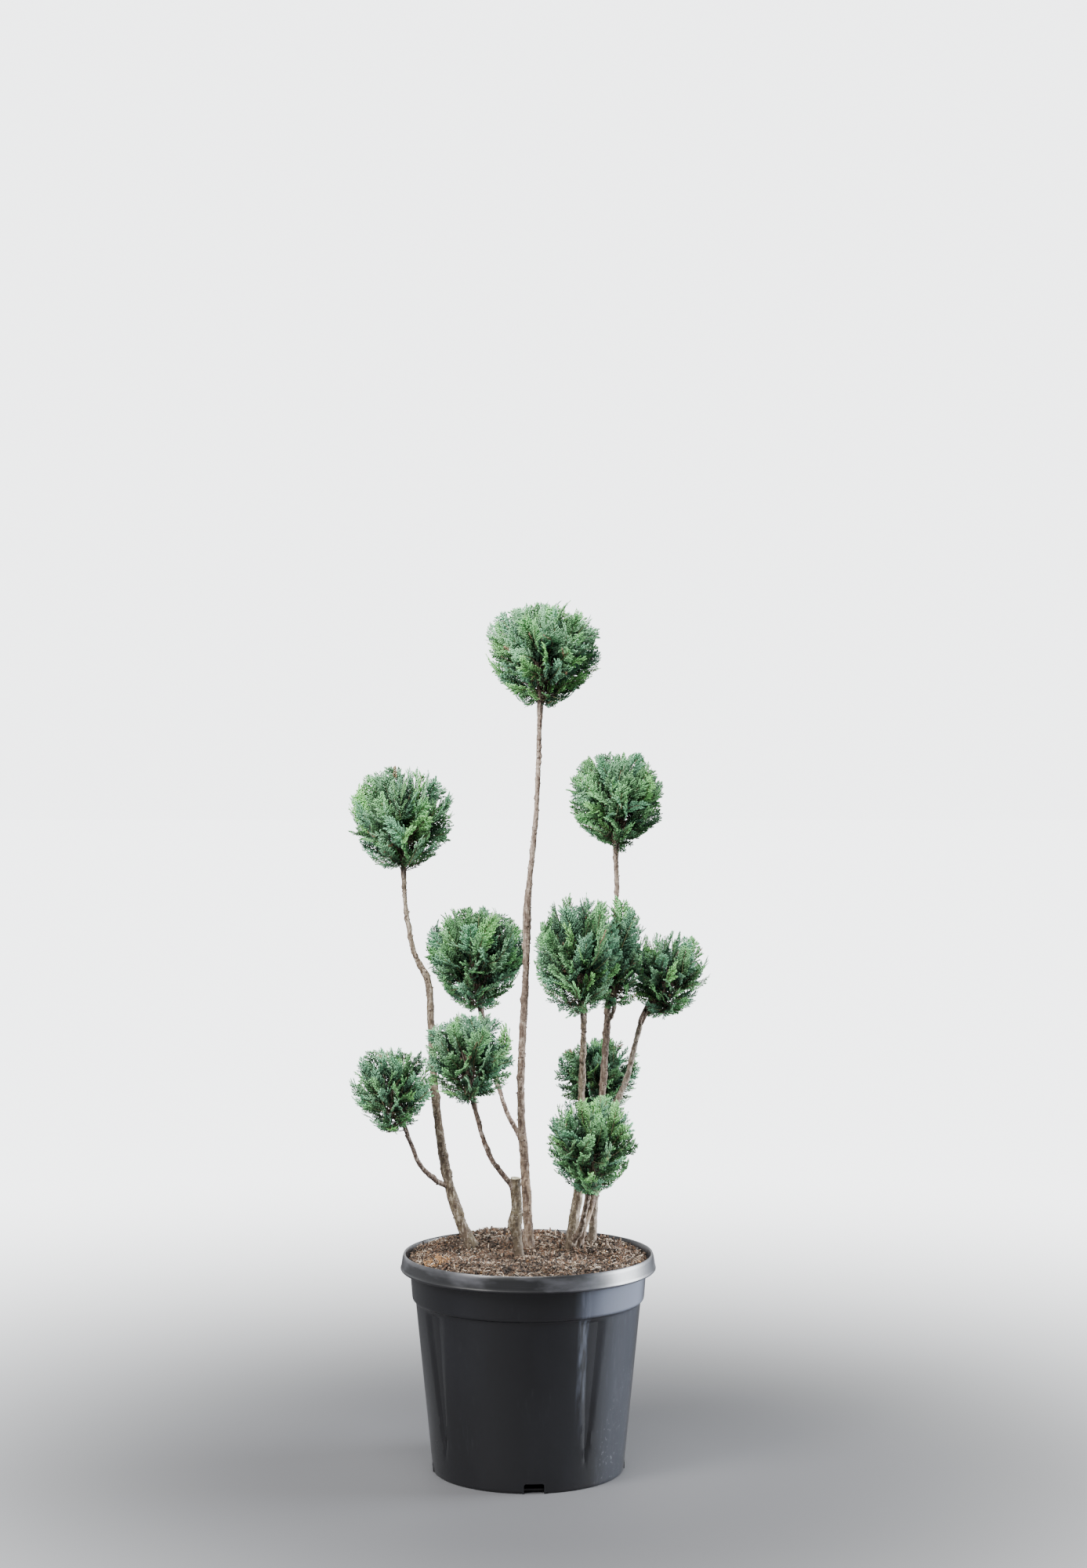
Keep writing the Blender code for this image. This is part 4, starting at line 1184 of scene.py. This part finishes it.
# %% [markdown]
# A fibre is a thin strip with a bend in it. Its shape is a short three-sided tube, which the
# next helper also makes for twigs: rings of points along a path, joined to the next ring.

# %% Fibres
FIBRES = 4400
FIBRE_REACH = 160 * MM
FIBRE_PATCHES = 26 * MM
FIBRE_LONGEST = 15 * MM
FIBRE_LIFT = 2.2 * MM
FIBRE_SHARES = (0.22, 0.30, 0.48)


def tubes(paths, radii, sides):
    """Three- or more-sided tubes along paths of shape (count, points, 3), as arrays."""
    count, points, _ = paths.shape
    heading = np.gradient(paths, axis=1)
    heading /= np.maximum(np.linalg.norm(heading, axis=2, keepdims=True), 1e-12)
    guide = np.where(np.abs(heading[..., 2:3]) > 0.9, (1.0, 0.0, 0.0), (0.0, 0.0, 1.0))
    side = np.cross(heading, guide)
    side /= np.linalg.norm(side, axis=2, keepdims=True)
    other = np.cross(heading, side)
    turn = 2 * math.pi * np.arange(sides) / sides
    ring = side[:, :, None] * np.cos(turn)[:, None] + other[:, :, None] * np.sin(turn)[:, None]
    corners = paths[:, :, None] + ring * radii[:, :, None, None]
    first = np.arange(points - 1)[:, None] * sides
    lower = first + np.arange(sides)
    after = first + (np.arange(sides) + 1) % sides
    walls = np.stack([np.stack([lower, lower + sides, after + sides], -1),
                      np.stack([lower, after + sides, after], -1)]).reshape(-1, 3)
    fan = np.arange(1, sides - 1)
    start_cap = np.stack([np.zeros_like(fan), fan, fan + 1], -1)
    end_cap = np.stack([np.zeros_like(fan), fan + 1, fan], -1) + (points - 1) * sides
    one = np.concatenate([walls, start_cap, end_cap])
    return corners.reshape(-1, 3), repeated(one, points * sides, count)


FIBRE_TINTS = [
    mulch_finish("fibre_cream", (0.52, 0.45, 0.37), (0.76, 0.69, 0.60)),
    mulch_finish("fibre_straw", (0.36, 0.27, 0.19), (0.55, 0.44, 0.34)),
    mulch_finish("fibre_brown", (0.13, 0.076, 0.046), (0.23, 0.150, 0.100)),
]
fibre_places = on_bed(FIBRES, mulch_chance, FIBRE_REACH)
fibre_places = fibre_places[cloud(fibre_places, FIBRE_PATCHES, 9) > -0.12]
count = len(fibre_places)
turn = mulch_chance.uniform(0, 2 * math.pi, count)
length = np.minimum(mulch_chance.lognormal(1.62, 0.42, count) * MM, FIBRE_LONGEST)
along = np.stack([np.cos(turn), np.sin(turn), mulch_chance.normal(0, 0.30, count)], 1)
aside = np.stack([-np.sin(turn), np.cos(turn), mulch_chance.normal(0, 0.3, count)], 1)
bend = mulch_chance.normal(0, 0.26, count) * length
t = np.linspace(-0.5, 0.5, 5)
fibre_paths = fibre_places[:, None] + along[:, None] * (length[:, None] * t)[..., None]
fibre_paths = fibre_paths + aside[:, None] * (bend[:, None] * (1 - 4 * t * t))[..., None]
fibre_paths[..., 2] += FIBRE_LIFT + mulch_chance.uniform(0, 1.6, count)[:, None] * MM
fibre_radii = mulch_chance.uniform(0.18, 0.46, count)[:, None] * MM * (1 - 1.2 * np.abs(t) ** 2)
corners, triangles = tubes(fibre_paths, fibre_radii, 3)
tints = np.repeat(mulch_chance.choice(3, count, p=FIBRE_SHARES), len(triangles) // count)
show_joined("mulch_fibres", (corners, triangles, tints), FIBRE_TINTS, "mulch")

# %% [markdown]
# ## The balls of foliage
#
# A ball is a bouquet. Its stem forks low down, and flat plates of foliage rise from the fork
# like feathers, most of them on edge. Shears have then cut the whole to an egg. The space of
# each ball is the one that its solid was grown in, and the same rule fills it here: plates
# point away from a heart below the middle, spread evenly over the ball by the golden turn.

# %% Space of each ball
BALLS = {
    "foliage_top": ("trunk_centre", (20.5, 30, 1119), (78, 76, 74)),
    "foliage_left_high": ("trunk_left", (-177.5, 45, 888.5), (73, 71, 72)),
    "foliage_right_high": ("trunk_right_middle", (124, 90, 915), (67.5, 66, 68)),
    "foliage_middle_back": ("bough_middle_back", (-74, 85, 692), (69.5, 68, 73.5)),
    "foliage_middle_front": ("bough_middle_front", (-79.5, -85, 572.5), (61, 60, 60.5)),
    "foliage_left_low": ("bough_left_low", (-187.5, -28, 522.5), (56.5, 56, 58.5)),
    "foliage_right_front": ("trunk_right_front", (68, -48, 706.5), (58, 54, 83)),
    "foliage_right_inner": ("bough_right_inner", (117, 12, 704), (45, 44, 77)),
    "foliage_right_outer": ("trunk_right_back", (192.5, 50, 674.5), (57.5, 56, 60.5)),
    "foliage_right_back": ("bough_right_back", (99.5, 115, 523), (60.5, 55, 53)),
    "foliage_right_low": ("bough_right_low", (86, -60, 449), (61, 58, 68)),
}
EGG = 0.08
FULLNESS = 2.5
MOST_SHARE = 1.09
BALL_MARGIN = 0.04
LIMB_MARGIN = 1.0 * MM
BARE_FORK = 24 * MM
FORK_SPREAD = 0.42


def unit(rows):
    """Every row scaled to a length of one."""
    return rows / np.maximum(np.linalg.norm(rows, axis=-1, keepdims=True), 1e-12)


def egg_share(ball, places, fullness, narrowing=0.0):
    """How far out places lie in an egg: 0 in the middle, 1 on its skin."""
    _, middle, halves = BALLS[ball]
    offset = places / MM - middle
    up = offset[..., 2] / halves[2]
    out = np.hypot(offset[..., 0] / halves[0], offset[..., 1] / halves[1])
    out = out / (1 + EGG * np.clip(up, -1, 1) - narrowing * np.clip(-up, 0, 1) ** 1.4)
    return (out ** fullness + np.abs(up) ** fullness) ** (1 / fullness)


def in_own_space(ball, places):
    """Which places are inside the ball, and well nearer to its middle than to another's."""
    own = egg_share(ball, places, FULLNESS)
    rest = np.min([egg_share(other, places, FULLNESS) for other in BALLS if other != ball], axis=0)
    return (own < MOST_SHARE) & (own + BALL_MARGIN < rest)


def off_limbs(places):
    """Which places are clear of every limb, and of the bare fork above it."""
    clear = np.ones(len(places), bool)
    for path, radii in coarse.values():
        fork = path[-1] + unit(path[-1] - path[-2]) * BARE_FORK
        path = np.concatenate([path, fork[None]])
        radii = np.append(radii, BARE_FORK * FORK_SPREAD)
        for start, end, first, second in zip(path, path[1:], radii, radii[1:]):
            along = end - start
            t = np.clip((places - start) @ along / (along @ along), 0, 1)
            gap = np.linalg.norm(places - start - t[:, None] * along, axis=1)
            clear &= gap > first + (second - first) * t + LIMB_MARGIN
    return clear


print("the tallest ball is", 2 * max(halves[2] for *_, halves in BALLS.values()), "mm high")

# %% [markdown]
# The solid of a ball is full to its foot. The clipped foliage narrows there towards the stem
# like a tulip, more in some balls than in others, and bares the forking twigs. So the plates
# keep to a second form, which lies inside the solid's. Its skin is not even either: shears
# follow the tufts, and leave lobes with dips between them.

# %% The clipped form of a ball
TULIP = 0.36
FULL_BELOW = {
    "foliage_right_outer": 0.10, "foliage_right_front": 0.04, "foliage_right_inner": 0.10,
    "foliage_right_back": 0.18, "foliage_middle_front": 0.20, "foliage_right_high": 0.26,
    "foliage_right_low": 0.50, "foliage_left_low": 0.30,
}
CLIPPED_FULLNESS = 2.3
LOBE_SIZE = 0.42
LOBE_DEPTH = 0.085
FIRST_LOBE_SEED = 60
HALVINGS = 26


def clipped_out(ball, places):
    """How far out places lie in the clipped form: 0 in the middle, 1 on its skin."""
    return egg_share(ball, places, CLIPPED_FULLNESS, FULL_BELOW.get(ball, TULIP))


def lobes(ball, places):
    """The share of the form that foliage reaches in each direction from the middle."""
    middle = np.array(BALLS[ball][1]) * MM
    seed = FIRST_LOBE_SEED + list(BALLS).index(ball)
    return 1 + LOBE_DEPTH * cloud(unit(places - middle), LOBE_SIZE, seed)


def on_ray(ball, directions, shares):
    """Places at these shares of the way to the form's skin, along directions from the middle."""
    middle = np.array(BALLS[ball][1]) * MM
    near = np.zeros(len(directions))
    far = np.full(len(directions), 4 * max(BALLS[ball][2]) * MM)
    for _ in range(HALVINGS):
        half = (near + far) / 2
        inside = clipped_out(ball, middle + directions * half[:, None]) < shares
        near = np.where(inside, half, near)
        far = np.where(inside, far, half)
    return middle + directions * near[:, None]


ball_foot = on_ray("foliage_top", np.array([[0.0, 0.0, -1.0]]), 1.0)[0]
print("the top ball's foot is", round(ball_foot[2] / MM), "mm up")

# %% [markdown]
# The smallest thing modelled is a branchlet a few millimetres long, wrapped in scale leaves
# too fine to see. It is a dart of four faces: pointed at both ends, with a keel along its
# back. Darts in two rows along an axis make a sprig, and sprigs in two rows along a longer
# axis make a plate, which is what grows on a twig of this cypress.

# %% A dart
def make_dart():
    """A closed dart one unit long, wide and thick: its corners and its four triangles."""
    bm = bmesh.new()
    for place in ((0, 0, 0), (-0.5, 0.52, -0.5), (0.5, 0.52, -0.5), (0, 1, 0)):
        bm.verts.new(place)
    bmesh.ops.convex_hull(bm, input=bm.verts)
    bmesh.ops.recalc_face_normals(bm, faces=bm.faces)
    return arrays_of(bm)


DART_CORNERS, DART_TRIANGLES = make_dart()
print("a dart has", len(DART_CORNERS), "corners and", len(DART_TRIANGLES), "triangles")

# %% [markdown]
# A plate is drawn flat first, in its own frame: across, along and out of the plane. Every
# sprig and every dart then tips a little out of that plane. Without this the plates would
# look like pressed flowers, and vanish where they are seen on edge.

# %% A flat plate
PLATE_SIZES = (40 * MM, 54 * MM, 70 * MM)
PLATES_OF_A_SIZE = 4
PLATE_HALF_WIDTH = 0.29
SPRIG_SPACING = 2.3 * MM
FIRST_SPRIG = 0.05
SPRIG_RANGE = 0.93
SPRIG_ANGLES = (36, 46)
SHORTEST_SPRIG = 6 * MM
END_SPRIG = 11 * MM
SPRIG_TIPPING = 0.13
DART_SPACING = 1.45 * MM
DART_LENGTH = 6.2 * MM
DART_WIDTH = 2.1 * MM
DART_THICKNESS = 1.2 * MM
DART_ANGLES = (30, 40)
DART_CURL = 0.20
DART_TIPPING = 0.10


def make_plate(seed, size):
    """A plate of darts: their corners, the sprig of each, and how near each is to a tip."""
    chance = random.Random(seed)
    rows = []
    sprigs = round(SPRIG_RANGE * size / SPRIG_SPACING)
    for index in range(sprigs):
        along = FIRST_SPRIG + SPRIG_RANGE * (index + chance.uniform(-0.2, 0.2)) / sprigs
        side = 1 if index % 2 else -1
        spread = side * math.radians(chance.uniform(*SPRIG_ANGLES) * (1 - 0.50 * along ** 2))
        length = size * PLATE_HALF_WIDTH * math.sin(math.pi * (0.22 + 0.62 * along)) ** 0.8
        length = max(SHORTEST_SPRIG, length * chance.uniform(0.78, 1.15))
        if index == sprigs - 1:
            spread = 0
            length = END_SPRIG
        sprig = (index, spread, along * size, chance.gauss(0, SPRIG_TIPPING))
        rows.append((*sprig, -2 * MM, 0, length * 0.95, 2.0 * MM, 0, 0.5 * along))
        darts = round(0.92 * length / DART_SPACING)
        for step in range(darts):
            share = (step + 0.5) / darts
            side = 1 if step % 2 else -1
            turn = side * math.radians(chance.uniform(*DART_ANGLES) * (1 - 0.35 * share))
            reach = DART_LENGTH * chance.uniform(0.85, 1.1) * (1.0 - 0.35 * share)
            reach = min(reach, 2.5 * MM + length * 0.38)
            width = DART_WIDTH * chance.uniform(0.85, 1.1)
            nearness = 0.5 * along + 0.15 + 0.35 * share
            rows.append((*sprig, share * length, turn, reach, width, -DART_CURL * side, nearness))
        rows.append((*sprig, length * 0.86, chance.uniform(-0.1, 0.1), DART_LENGTH * 0.8,
                     DART_WIDTH * 0.85, 0, 0.5 * along + 0.5))
    sprig, spread, along, tip_out, up, turn, reach, width, curl, nearness = np.array(rows).T
    dart_out = np.array([chance.gauss(0, DART_TIPPING) for _ in rows])
    dart = DART_CORNERS[None]
    x = dart[..., 0] * width[:, None] + (curl * reach)[:, None] * dart[..., 1] ** 2
    y = dart[..., 1] * reach[:, None]
    z = dart[..., 2] * DART_THICKNESS + y * dart_out[:, None]
    z = z + (up[:, None] + y * np.cos(turn)[:, None]) * tip_out[:, None]
    sine, cosine = np.sin(spread + turn)[:, None], np.cos(spread + turn)[:, None]
    across = (np.sin(spread) * up)[:, None] + cosine * x + sine * y
    lengthwise = (along + np.cos(spread) * up)[:, None] - sine * x + cosine * y
    return np.stack([across, lengthwise, z], axis=2), sprig.astype(int), nearness


PLATES = [[make_plate(10 * kind + seed, size) for seed in range(PLATES_OF_A_SIZE)]
          for kind, size in enumerate(PLATE_SIZES)]
print("plates have", [len(kind[0][1]) for kind in PLATES], "darts")

# %% [markdown]
# Each plate leaves the fork on its own thin twig. Real plates cup, arch outwards and twist a
# little, so the flat plate is bent before it is placed. A dart that would leave the ball's
# space or touch a limb is dropped, just as the shears would have it.
#
# An outer layer of plates makes the ball's skin, and a shorter inner one closes the view
# through it. In the top ball most of the lowest plates in front and behind are left out, so
# that its fork shows.

# %% Where the plates of a ball stand
OUTER_PLATES = 80
INNER_PLATES = 44
USUAL_HALF_SIZE = 65
THICKER = {
    "foliage_right_back": 1.4, "foliage_right_inner": 1.35, "foliage_right_front": 1.15,
    "foliage_right_high": 1.15,
}
OPEN_FORKS = {"foliage_top": 0.25}
OPEN_BELOW = -0.42
OPEN_HALF_WIDTH = 0.4
HEART_DROP = 0.45
LOW_HEART_DROP = 0.85
OUTER_TIPS = (0.92, 1.05)
INNER_TIPS = (0.55, 0.80)
PLATE_SHARES = (0.50, 0.80)
SHORTEST_PLATE = 30 * MM
LONGEST_PLATE = 76 * MM
AXIS_STRAYS = 0.13
PLATE_TWIST = math.radians(48)
GOLDEN_TURN = math.pi * (3 - math.sqrt(5))


def golden_directions(count, chance):
    """Directions spread evenly over a ball, each turned on by the golden angle."""
    index = np.arange(count)
    up = 1 - (2 * index + 1) / count
    turn = index * GOLDEN_TURN + chance.uniform(-0.25, 0.25, count)
    across = np.sqrt(1 - up * up)
    return np.stack([across * np.cos(turn), across * np.sin(turn), up], axis=1)


def plate_frames(ball, chance):
    """Tip, length and the three axes of every plate in a ball."""
    _, middle, halves = BALLS[ball]
    middle = np.array(middle) * MM
    fill = np.prod(halves) ** (2 / 3) / USUAL_HALF_SIZE ** 2 * THICKER.get(ball, 1)
    outer = golden_directions(round(OUTER_PLATES * fill), chance)
    left_in = chance.uniform(0, 1, len(outer)) < OPEN_FORKS.get(ball, 1)
    outer = outer[(outer[:, 2] > OPEN_BELOW) | (np.abs(outer[:, 0]) > OPEN_HALF_WIDTH) | left_in]
    inner = golden_directions(round(INNER_PLATES * fill), chance)
    directions = np.concatenate([outer, inner])
    count = len(directions)
    shares = chance.uniform(*OUTER_TIPS, count)
    shares[len(outer):] = chance.uniform(*INNER_TIPS, len(inner))
    shares *= lobes(ball, middle + directions)
    tips = on_ray(ball, directions, shares)
    low = np.clip(-(directions[:, 2] + 0.15) / 0.5, 0, 1)
    drop = HEART_DROP + (LOW_HEART_DROP - HEART_DROP) * low
    heart = middle - np.outer(drop * halves[2] * MM, (0, 0, 1))
    axis = unit(unit(tips - heart) + chance.normal(0, AXIS_STRAYS, (count, 3)))
    length = np.linalg.norm(tips - heart, axis=1) * chance.uniform(*PLATE_SHARES, count)
    side = unit(np.cross(axis, (0.0, 0.0, 1.0)) + (0, 1e-6, 0))
    twist = chance.normal(0, PLATE_TWIST, count)
    flat = side * np.cos(twist)[:, None] + np.cross(axis, side) * np.sin(twist)[:, None]
    return tips, np.clip(length, SHORTEST_PLATE, LONGEST_PLATE), np.cross(axis, flat), axis, flat


def bent(corners, cup, arch, sway):
    """A flat plate's corners, cupped across, arched along and swayed to one side."""
    x = corners[..., 0]
    y = corners[..., 1]
    z = corners[..., 2] + cup * x * x + arch * y * (y - 1)
    return np.stack([x + sway * y * (y - 1), y, z], axis=-1)


print("up to", OUTER_PLATES, "outer and", INNER_PLATES, "inner plates in a usual ball")

# %% Grow one ball
SPINE_POINTS = 7
SPINE_SHARE = 0.9


def grow_ball(ball, chance):
    """Every dart of a ball with its sprig, nearness to a tip and plate, and the plates' spines."""
    line = np.zeros((SPINE_POINTS, 3))
    line[:, 1] = np.linspace(0, SPINE_SHARE, SPINE_POINTS)
    darts, sprigs, nearness, plates, spines = [], [], [], [], []
    sprig_count = 0
    for index, (tip, length, *axes) in enumerate(zip(*plate_frames(ball, chance))):
        kind = int(np.argmin([abs(length - size) for size in PLATE_SIZES]))
        corners, sprig, near_tip = PLATES[kind][chance.integers(PLATES_OF_A_SIZE)]
        shape = (chance.uniform(-1.0, 2.0), chance.normal(0, 0.35), chance.normal(0, 0.20))
        frame = np.stack(axes) * length
        root = tip - axes[1] * length
        darts.append(root + bent(corners / PLATE_SIZES[kind], *shape) @ frame)
        spines.append(root + bent(line, *shape) @ frame)
        sprigs.append(sprig + sprig_count)
        nearness.append(near_tip)
        plates.append(np.full(len(sprig), index))
        sprig_count += sprig.max() + 1
    return *(np.concatenate(rows) for rows in (darts, sprigs, nearness, plates)), np.array(spines)


# %% [markdown]
# A colour that has a place is dealt out by sprig, in four tones of painted light: painted
# shade deep inside, brighter out to the tips that stand in the light. Each tone comes in a
# blue-green, a grass green or a grey-green that a whole plate shares. Some balls are painted
# lighter or darker all through, as more or less light falls on them. A few plates are young
# and yellow-green, more of them in some balls than in others, and a few sprigs have dried.

# %% Greens
FAMILIES = {
    "grass_green": ((0.025, 0.052, 0.026), (0.072, 0.150, 0.072), (0.174, 0.368, 0.174),
                    (0.238, 0.575, 0.235)),
    "blue_green": ((0.023, 0.048, 0.031), (0.064, 0.134, 0.086), (0.155, 0.326, 0.208),
                   (0.222, 0.520, 0.308)),
    "grey_green": ((0.025, 0.050, 0.032), (0.075, 0.147, 0.088), (0.184, 0.356, 0.208),
                   (0.262, 0.546, 0.310)),
    "young_green": ((0.031, 0.070, 0.025), (0.098, 0.215, 0.078), (0.222, 0.505, 0.182),
                    (0.310, 0.730, 0.258)),
}
LIGHTS = ("deep", "shade", "full", "tip")
LEAF_SHINE = 0.08
FAMILY_SHARES = (0.40, 0.30, 0.30)
YOUNG_SHARE = {"foliage_right_low": 0.20, "foliage_left_high": 0.12, "foliage_top": 0.14}
USUAL_YOUNG_SHARE = 0.06
DRIED_SHARE = 0.005
# How much lighter or darker each ball is painted, by how much lamp light falls on it.
LIT = {
    "foliage_top": 0.35, "foliage_left_high": 0.30, "foliage_left_low": 0.25,
    "foliage_middle_back": 0.20, "foliage_right_outer": 0.30, "foliage_right_back": -0.2,
    "foliage_right_low": -0.05, "foliage_right_high": 0.40,
}
LIGHT_FROM_INSIDE = ((0.36, 0.66, 0.98), (0.0, 1.1, 2.2))
LIGHT_ALONG_SPRIG = 1.9

FOLIAGE_TINTS = [Finish(f"{family}_{light}", tone, 0.6, specular=LEAF_SHINE).material
                 for family, tones in FAMILIES.items() for light, tone in zip(LIGHTS, tones)]
FOLIAGE_TINTS.append(Finish("dried_sprig", (0.330, 0.225, 0.140), 0.8).material)
TWIG = Finish("twig_brown", (0.110, 0.078, 0.056), 0.8)
TWIG.coat((0.050, 0.034, 0.025), TWIG.spread(TWIG.pattern(STREAKS, Across=300.0, Along=60.0), 0.52, 0.40))
SPINE = Finish("twig_green", (0.235, 0.235, 0.120), 0.7)
SPINE.coat((0.170, 0.110, 0.070), SPINE.pattern(SPECKS, Scale=60.0, From=0.48, To=0.60))


def dart_tints(ball, darts, sprigs, nearness, plates, chance):
    """Which finish each dart has: by how far out its sprig is, and how near it is to the tip."""
    young = YOUNG_SHARE.get(ball, USUAL_YOUNG_SHARE)
    odds = (*(share * (1 - young) for share in FAMILY_SHARES), young)
    families = chance.choice(len(FAMILIES), plates.max() + 1, p=odds)
    plate_light = chance.normal(0, 0.42, plates.max() + 1)
    out = clipped_out(ball, darts.mean(axis=1))
    sprig_out = np.bincount(sprigs, out) / np.maximum(np.bincount(sprigs), 1)
    light = np.interp(sprig_out, *LIGHT_FROM_INSIDE)
    light = light + chance.normal(0, 0.18, len(light)) + LIT.get(ball, 0)
    light = light[sprigs] + plate_light[plates] + LIGHT_ALONG_SPRIG * (nearness - 0.5)
    light = light + chance.normal(0, 0.20, len(darts))
    tints = families[plates] * len(LIGHTS) + np.clip(np.rint(light), 0, len(LIGHTS) - 1).astype(int)
    dried = chance.uniform(0, 1, len(sprig_out)) < DRIED_SHARE
    return np.where(dried[sprigs], len(FOLIAGE_TINTS) - 1, tints)


print(len(FOLIAGE_TINTS), "leaf colours")

# %% [markdown]
# The twigs inside are seen through gaps and at the foot of each ball. A few stout ones rise
# from the fork, and a thin one leaves the nearest of these for every plate.

# %% Twigs of one ball
MAIN_TURNS = np.array([0.15, math.pi - 0.2, 1.2, 2.6, 4.6])
MAIN_LEANS = np.array([0.42, 0.50, 0.8, 1.0, 0.9])
MAIN_RISE = 0.8
MAIN_REACH = 0.62
MAIN_POINTS = 14
FORK_SUNK = 8 * MM
FORK_PULL = 17 * MM
STEM_RINGS_BACK = 20


def curve_between(start, start_pull, end_pull, end, points):
    """Smooth paths from starts to ends, for whole arrays of them."""
    t = np.linspace(0, 1, points)[None, :, None]
    return (start[:, None] * (1 - t) ** 3 + start_pull[:, None] * 3 * t * (1 - t) ** 2
            + end_pull[:, None] * 3 * t * t * (1 - t) + end[:, None] * t ** 3)


def tapered(first, last, points, count):
    """The same taper from one radius to another, for each of a number of paths."""
    return np.repeat(np.linspace(first, last, points)[None], count, axis=0)


def ball_twigs(ball, spines, chance):
    """The stem's forks, a twig to each plate and the plates' spines, as arrays."""
    path, radii, _ = limb_tracks[BALLS[ball][0]]
    stem_radius = radii[-STEM_RINGS_BACK]
    heading = unit(path[-1] - path[-8])
    turn = MAIN_TURNS + chance.uniform(-0.3, 0.3)
    count = len(turn)
    outward = unit(np.stack([np.cos(turn) * MAIN_LEANS, np.sin(turn) * MAIN_LEANS,
                             np.full(count, MAIN_RISE)], 1))
    ends = on_ray(ball, outward, np.full(count, MAIN_REACH))
    aside = unit(outward - (outward @ heading)[:, None] * heading) * stem_radius
    starts = path[-1] - heading * FORK_SUNK + aside * 0.42
    pulls = starts + heading * FORK_PULL + aside * 1.1
    reach = np.linalg.norm(ends - starts, axis=1)[:, None]
    mains = curve_between(starts, pulls, ends - outward * 0.45 * reach, ends, MAIN_POINTS)
    roots = spines[:, 0]
    nearest = np.argmax(unit(roots - path[-1]) @ outward.T, axis=1)
    leave = chance.integers(2, 9, len(roots))
    leave_at = mains[nearest, leave]
    leave_heading = unit(mains[nearest, leave + 1] - leave_at)
    gap = np.linalg.norm(roots - leave_at, axis=1)[:, None]
    spine_heading = unit(spines[:, 1] - roots)
    links = curve_between(leave_at, leave_at + leave_heading * gap * 0.4,
                          roots - spine_heading * gap * 0.35, roots, SPINE_POINTS)
    main_radii = tapered(0.60, 0.15, MAIN_POINTS, count) * stem_radius
    link_radii = tapered(1.05, 0.66, SPINE_POINTS, len(roots)) * MM
    spine_radii = tapered(0.66, 0.26, SPINE_POINTS, len(roots)) * MM
    parts = []
    for paths, width, sides, tint in ((mains, main_radii, 8, 2), (links, link_radii, 4, 0),
                                      (spines, spine_radii, 3, 1)):
        corners, triangles = tubes(paths, width, sides)
        parts.append((corners, triangles, np.full(len(triangles), tint)))
    return joined(parts)


# %% [markdown]
# Now the eleven balls grow, each from its own seed. The darts of a ball become one mesh, and
# its stem and twigs another, so that both can stand for the ball's solid. Each plate and each
# sprig has a limit of its own near the clipped form's skin, so the outline stays ragged. A
# plate that has lost most of its darts to the shears loses its twig too.

# %% Grow them all
FIRST_BALL_SEED = 11
PLATE_LIMITS = (-0.03, 0.09)
SPRIG_LIMITS = (-0.04, 0.05)
LEAFY_SHARE = 0.35
dart_total = 0
for number, ball in enumerate(BALLS):
    chance = np.random.default_rng(FIRST_BALL_SEED + number)
    darts, sprigs, nearness, plates, spines = grow_ball(ball, chance)
    tips = darts[:, np.argmax(DART_CORNERS[:, 1])]
    limit = lobes(ball, tips) + chance.uniform(*PLATE_LIMITS, plates.max() + 1)[plates]
    limit = limit + chance.uniform(*SPRIG_LIMITS, sprigs.max() + 1)[sprigs]
    kept = in_own_space(ball, tips) & (clipped_out(ball, tips) < limit)
    kept &= off_limbs(tips) & off_limbs(darts.mean(axis=1))
    tints = dart_tints(ball, darts, sprigs, nearness, plates, chance)[kept]
    dart_total += len(tints)
    leaves = (darts[kept].reshape(-1, 3), repeated(DART_TRIANGLES, len(DART_CORNERS), len(tints)),
              np.repeat(tints, len(DART_TRIANGLES)))
    show_joined(ball + "_leaves", leaves, FOLIAGE_TINTS, "foliage", ball)
    leafy = np.bincount(plates[kept], minlength=len(spines)) > LEAFY_SHARE * np.bincount(plates)
    show_joined(ball + "_twigs", ball_twigs(ball, spines[leafy], chance),
                [TWIG.material, SPINE.material, YOUNG_BARK], "bark", ball)
print(dart_total, "darts in all")
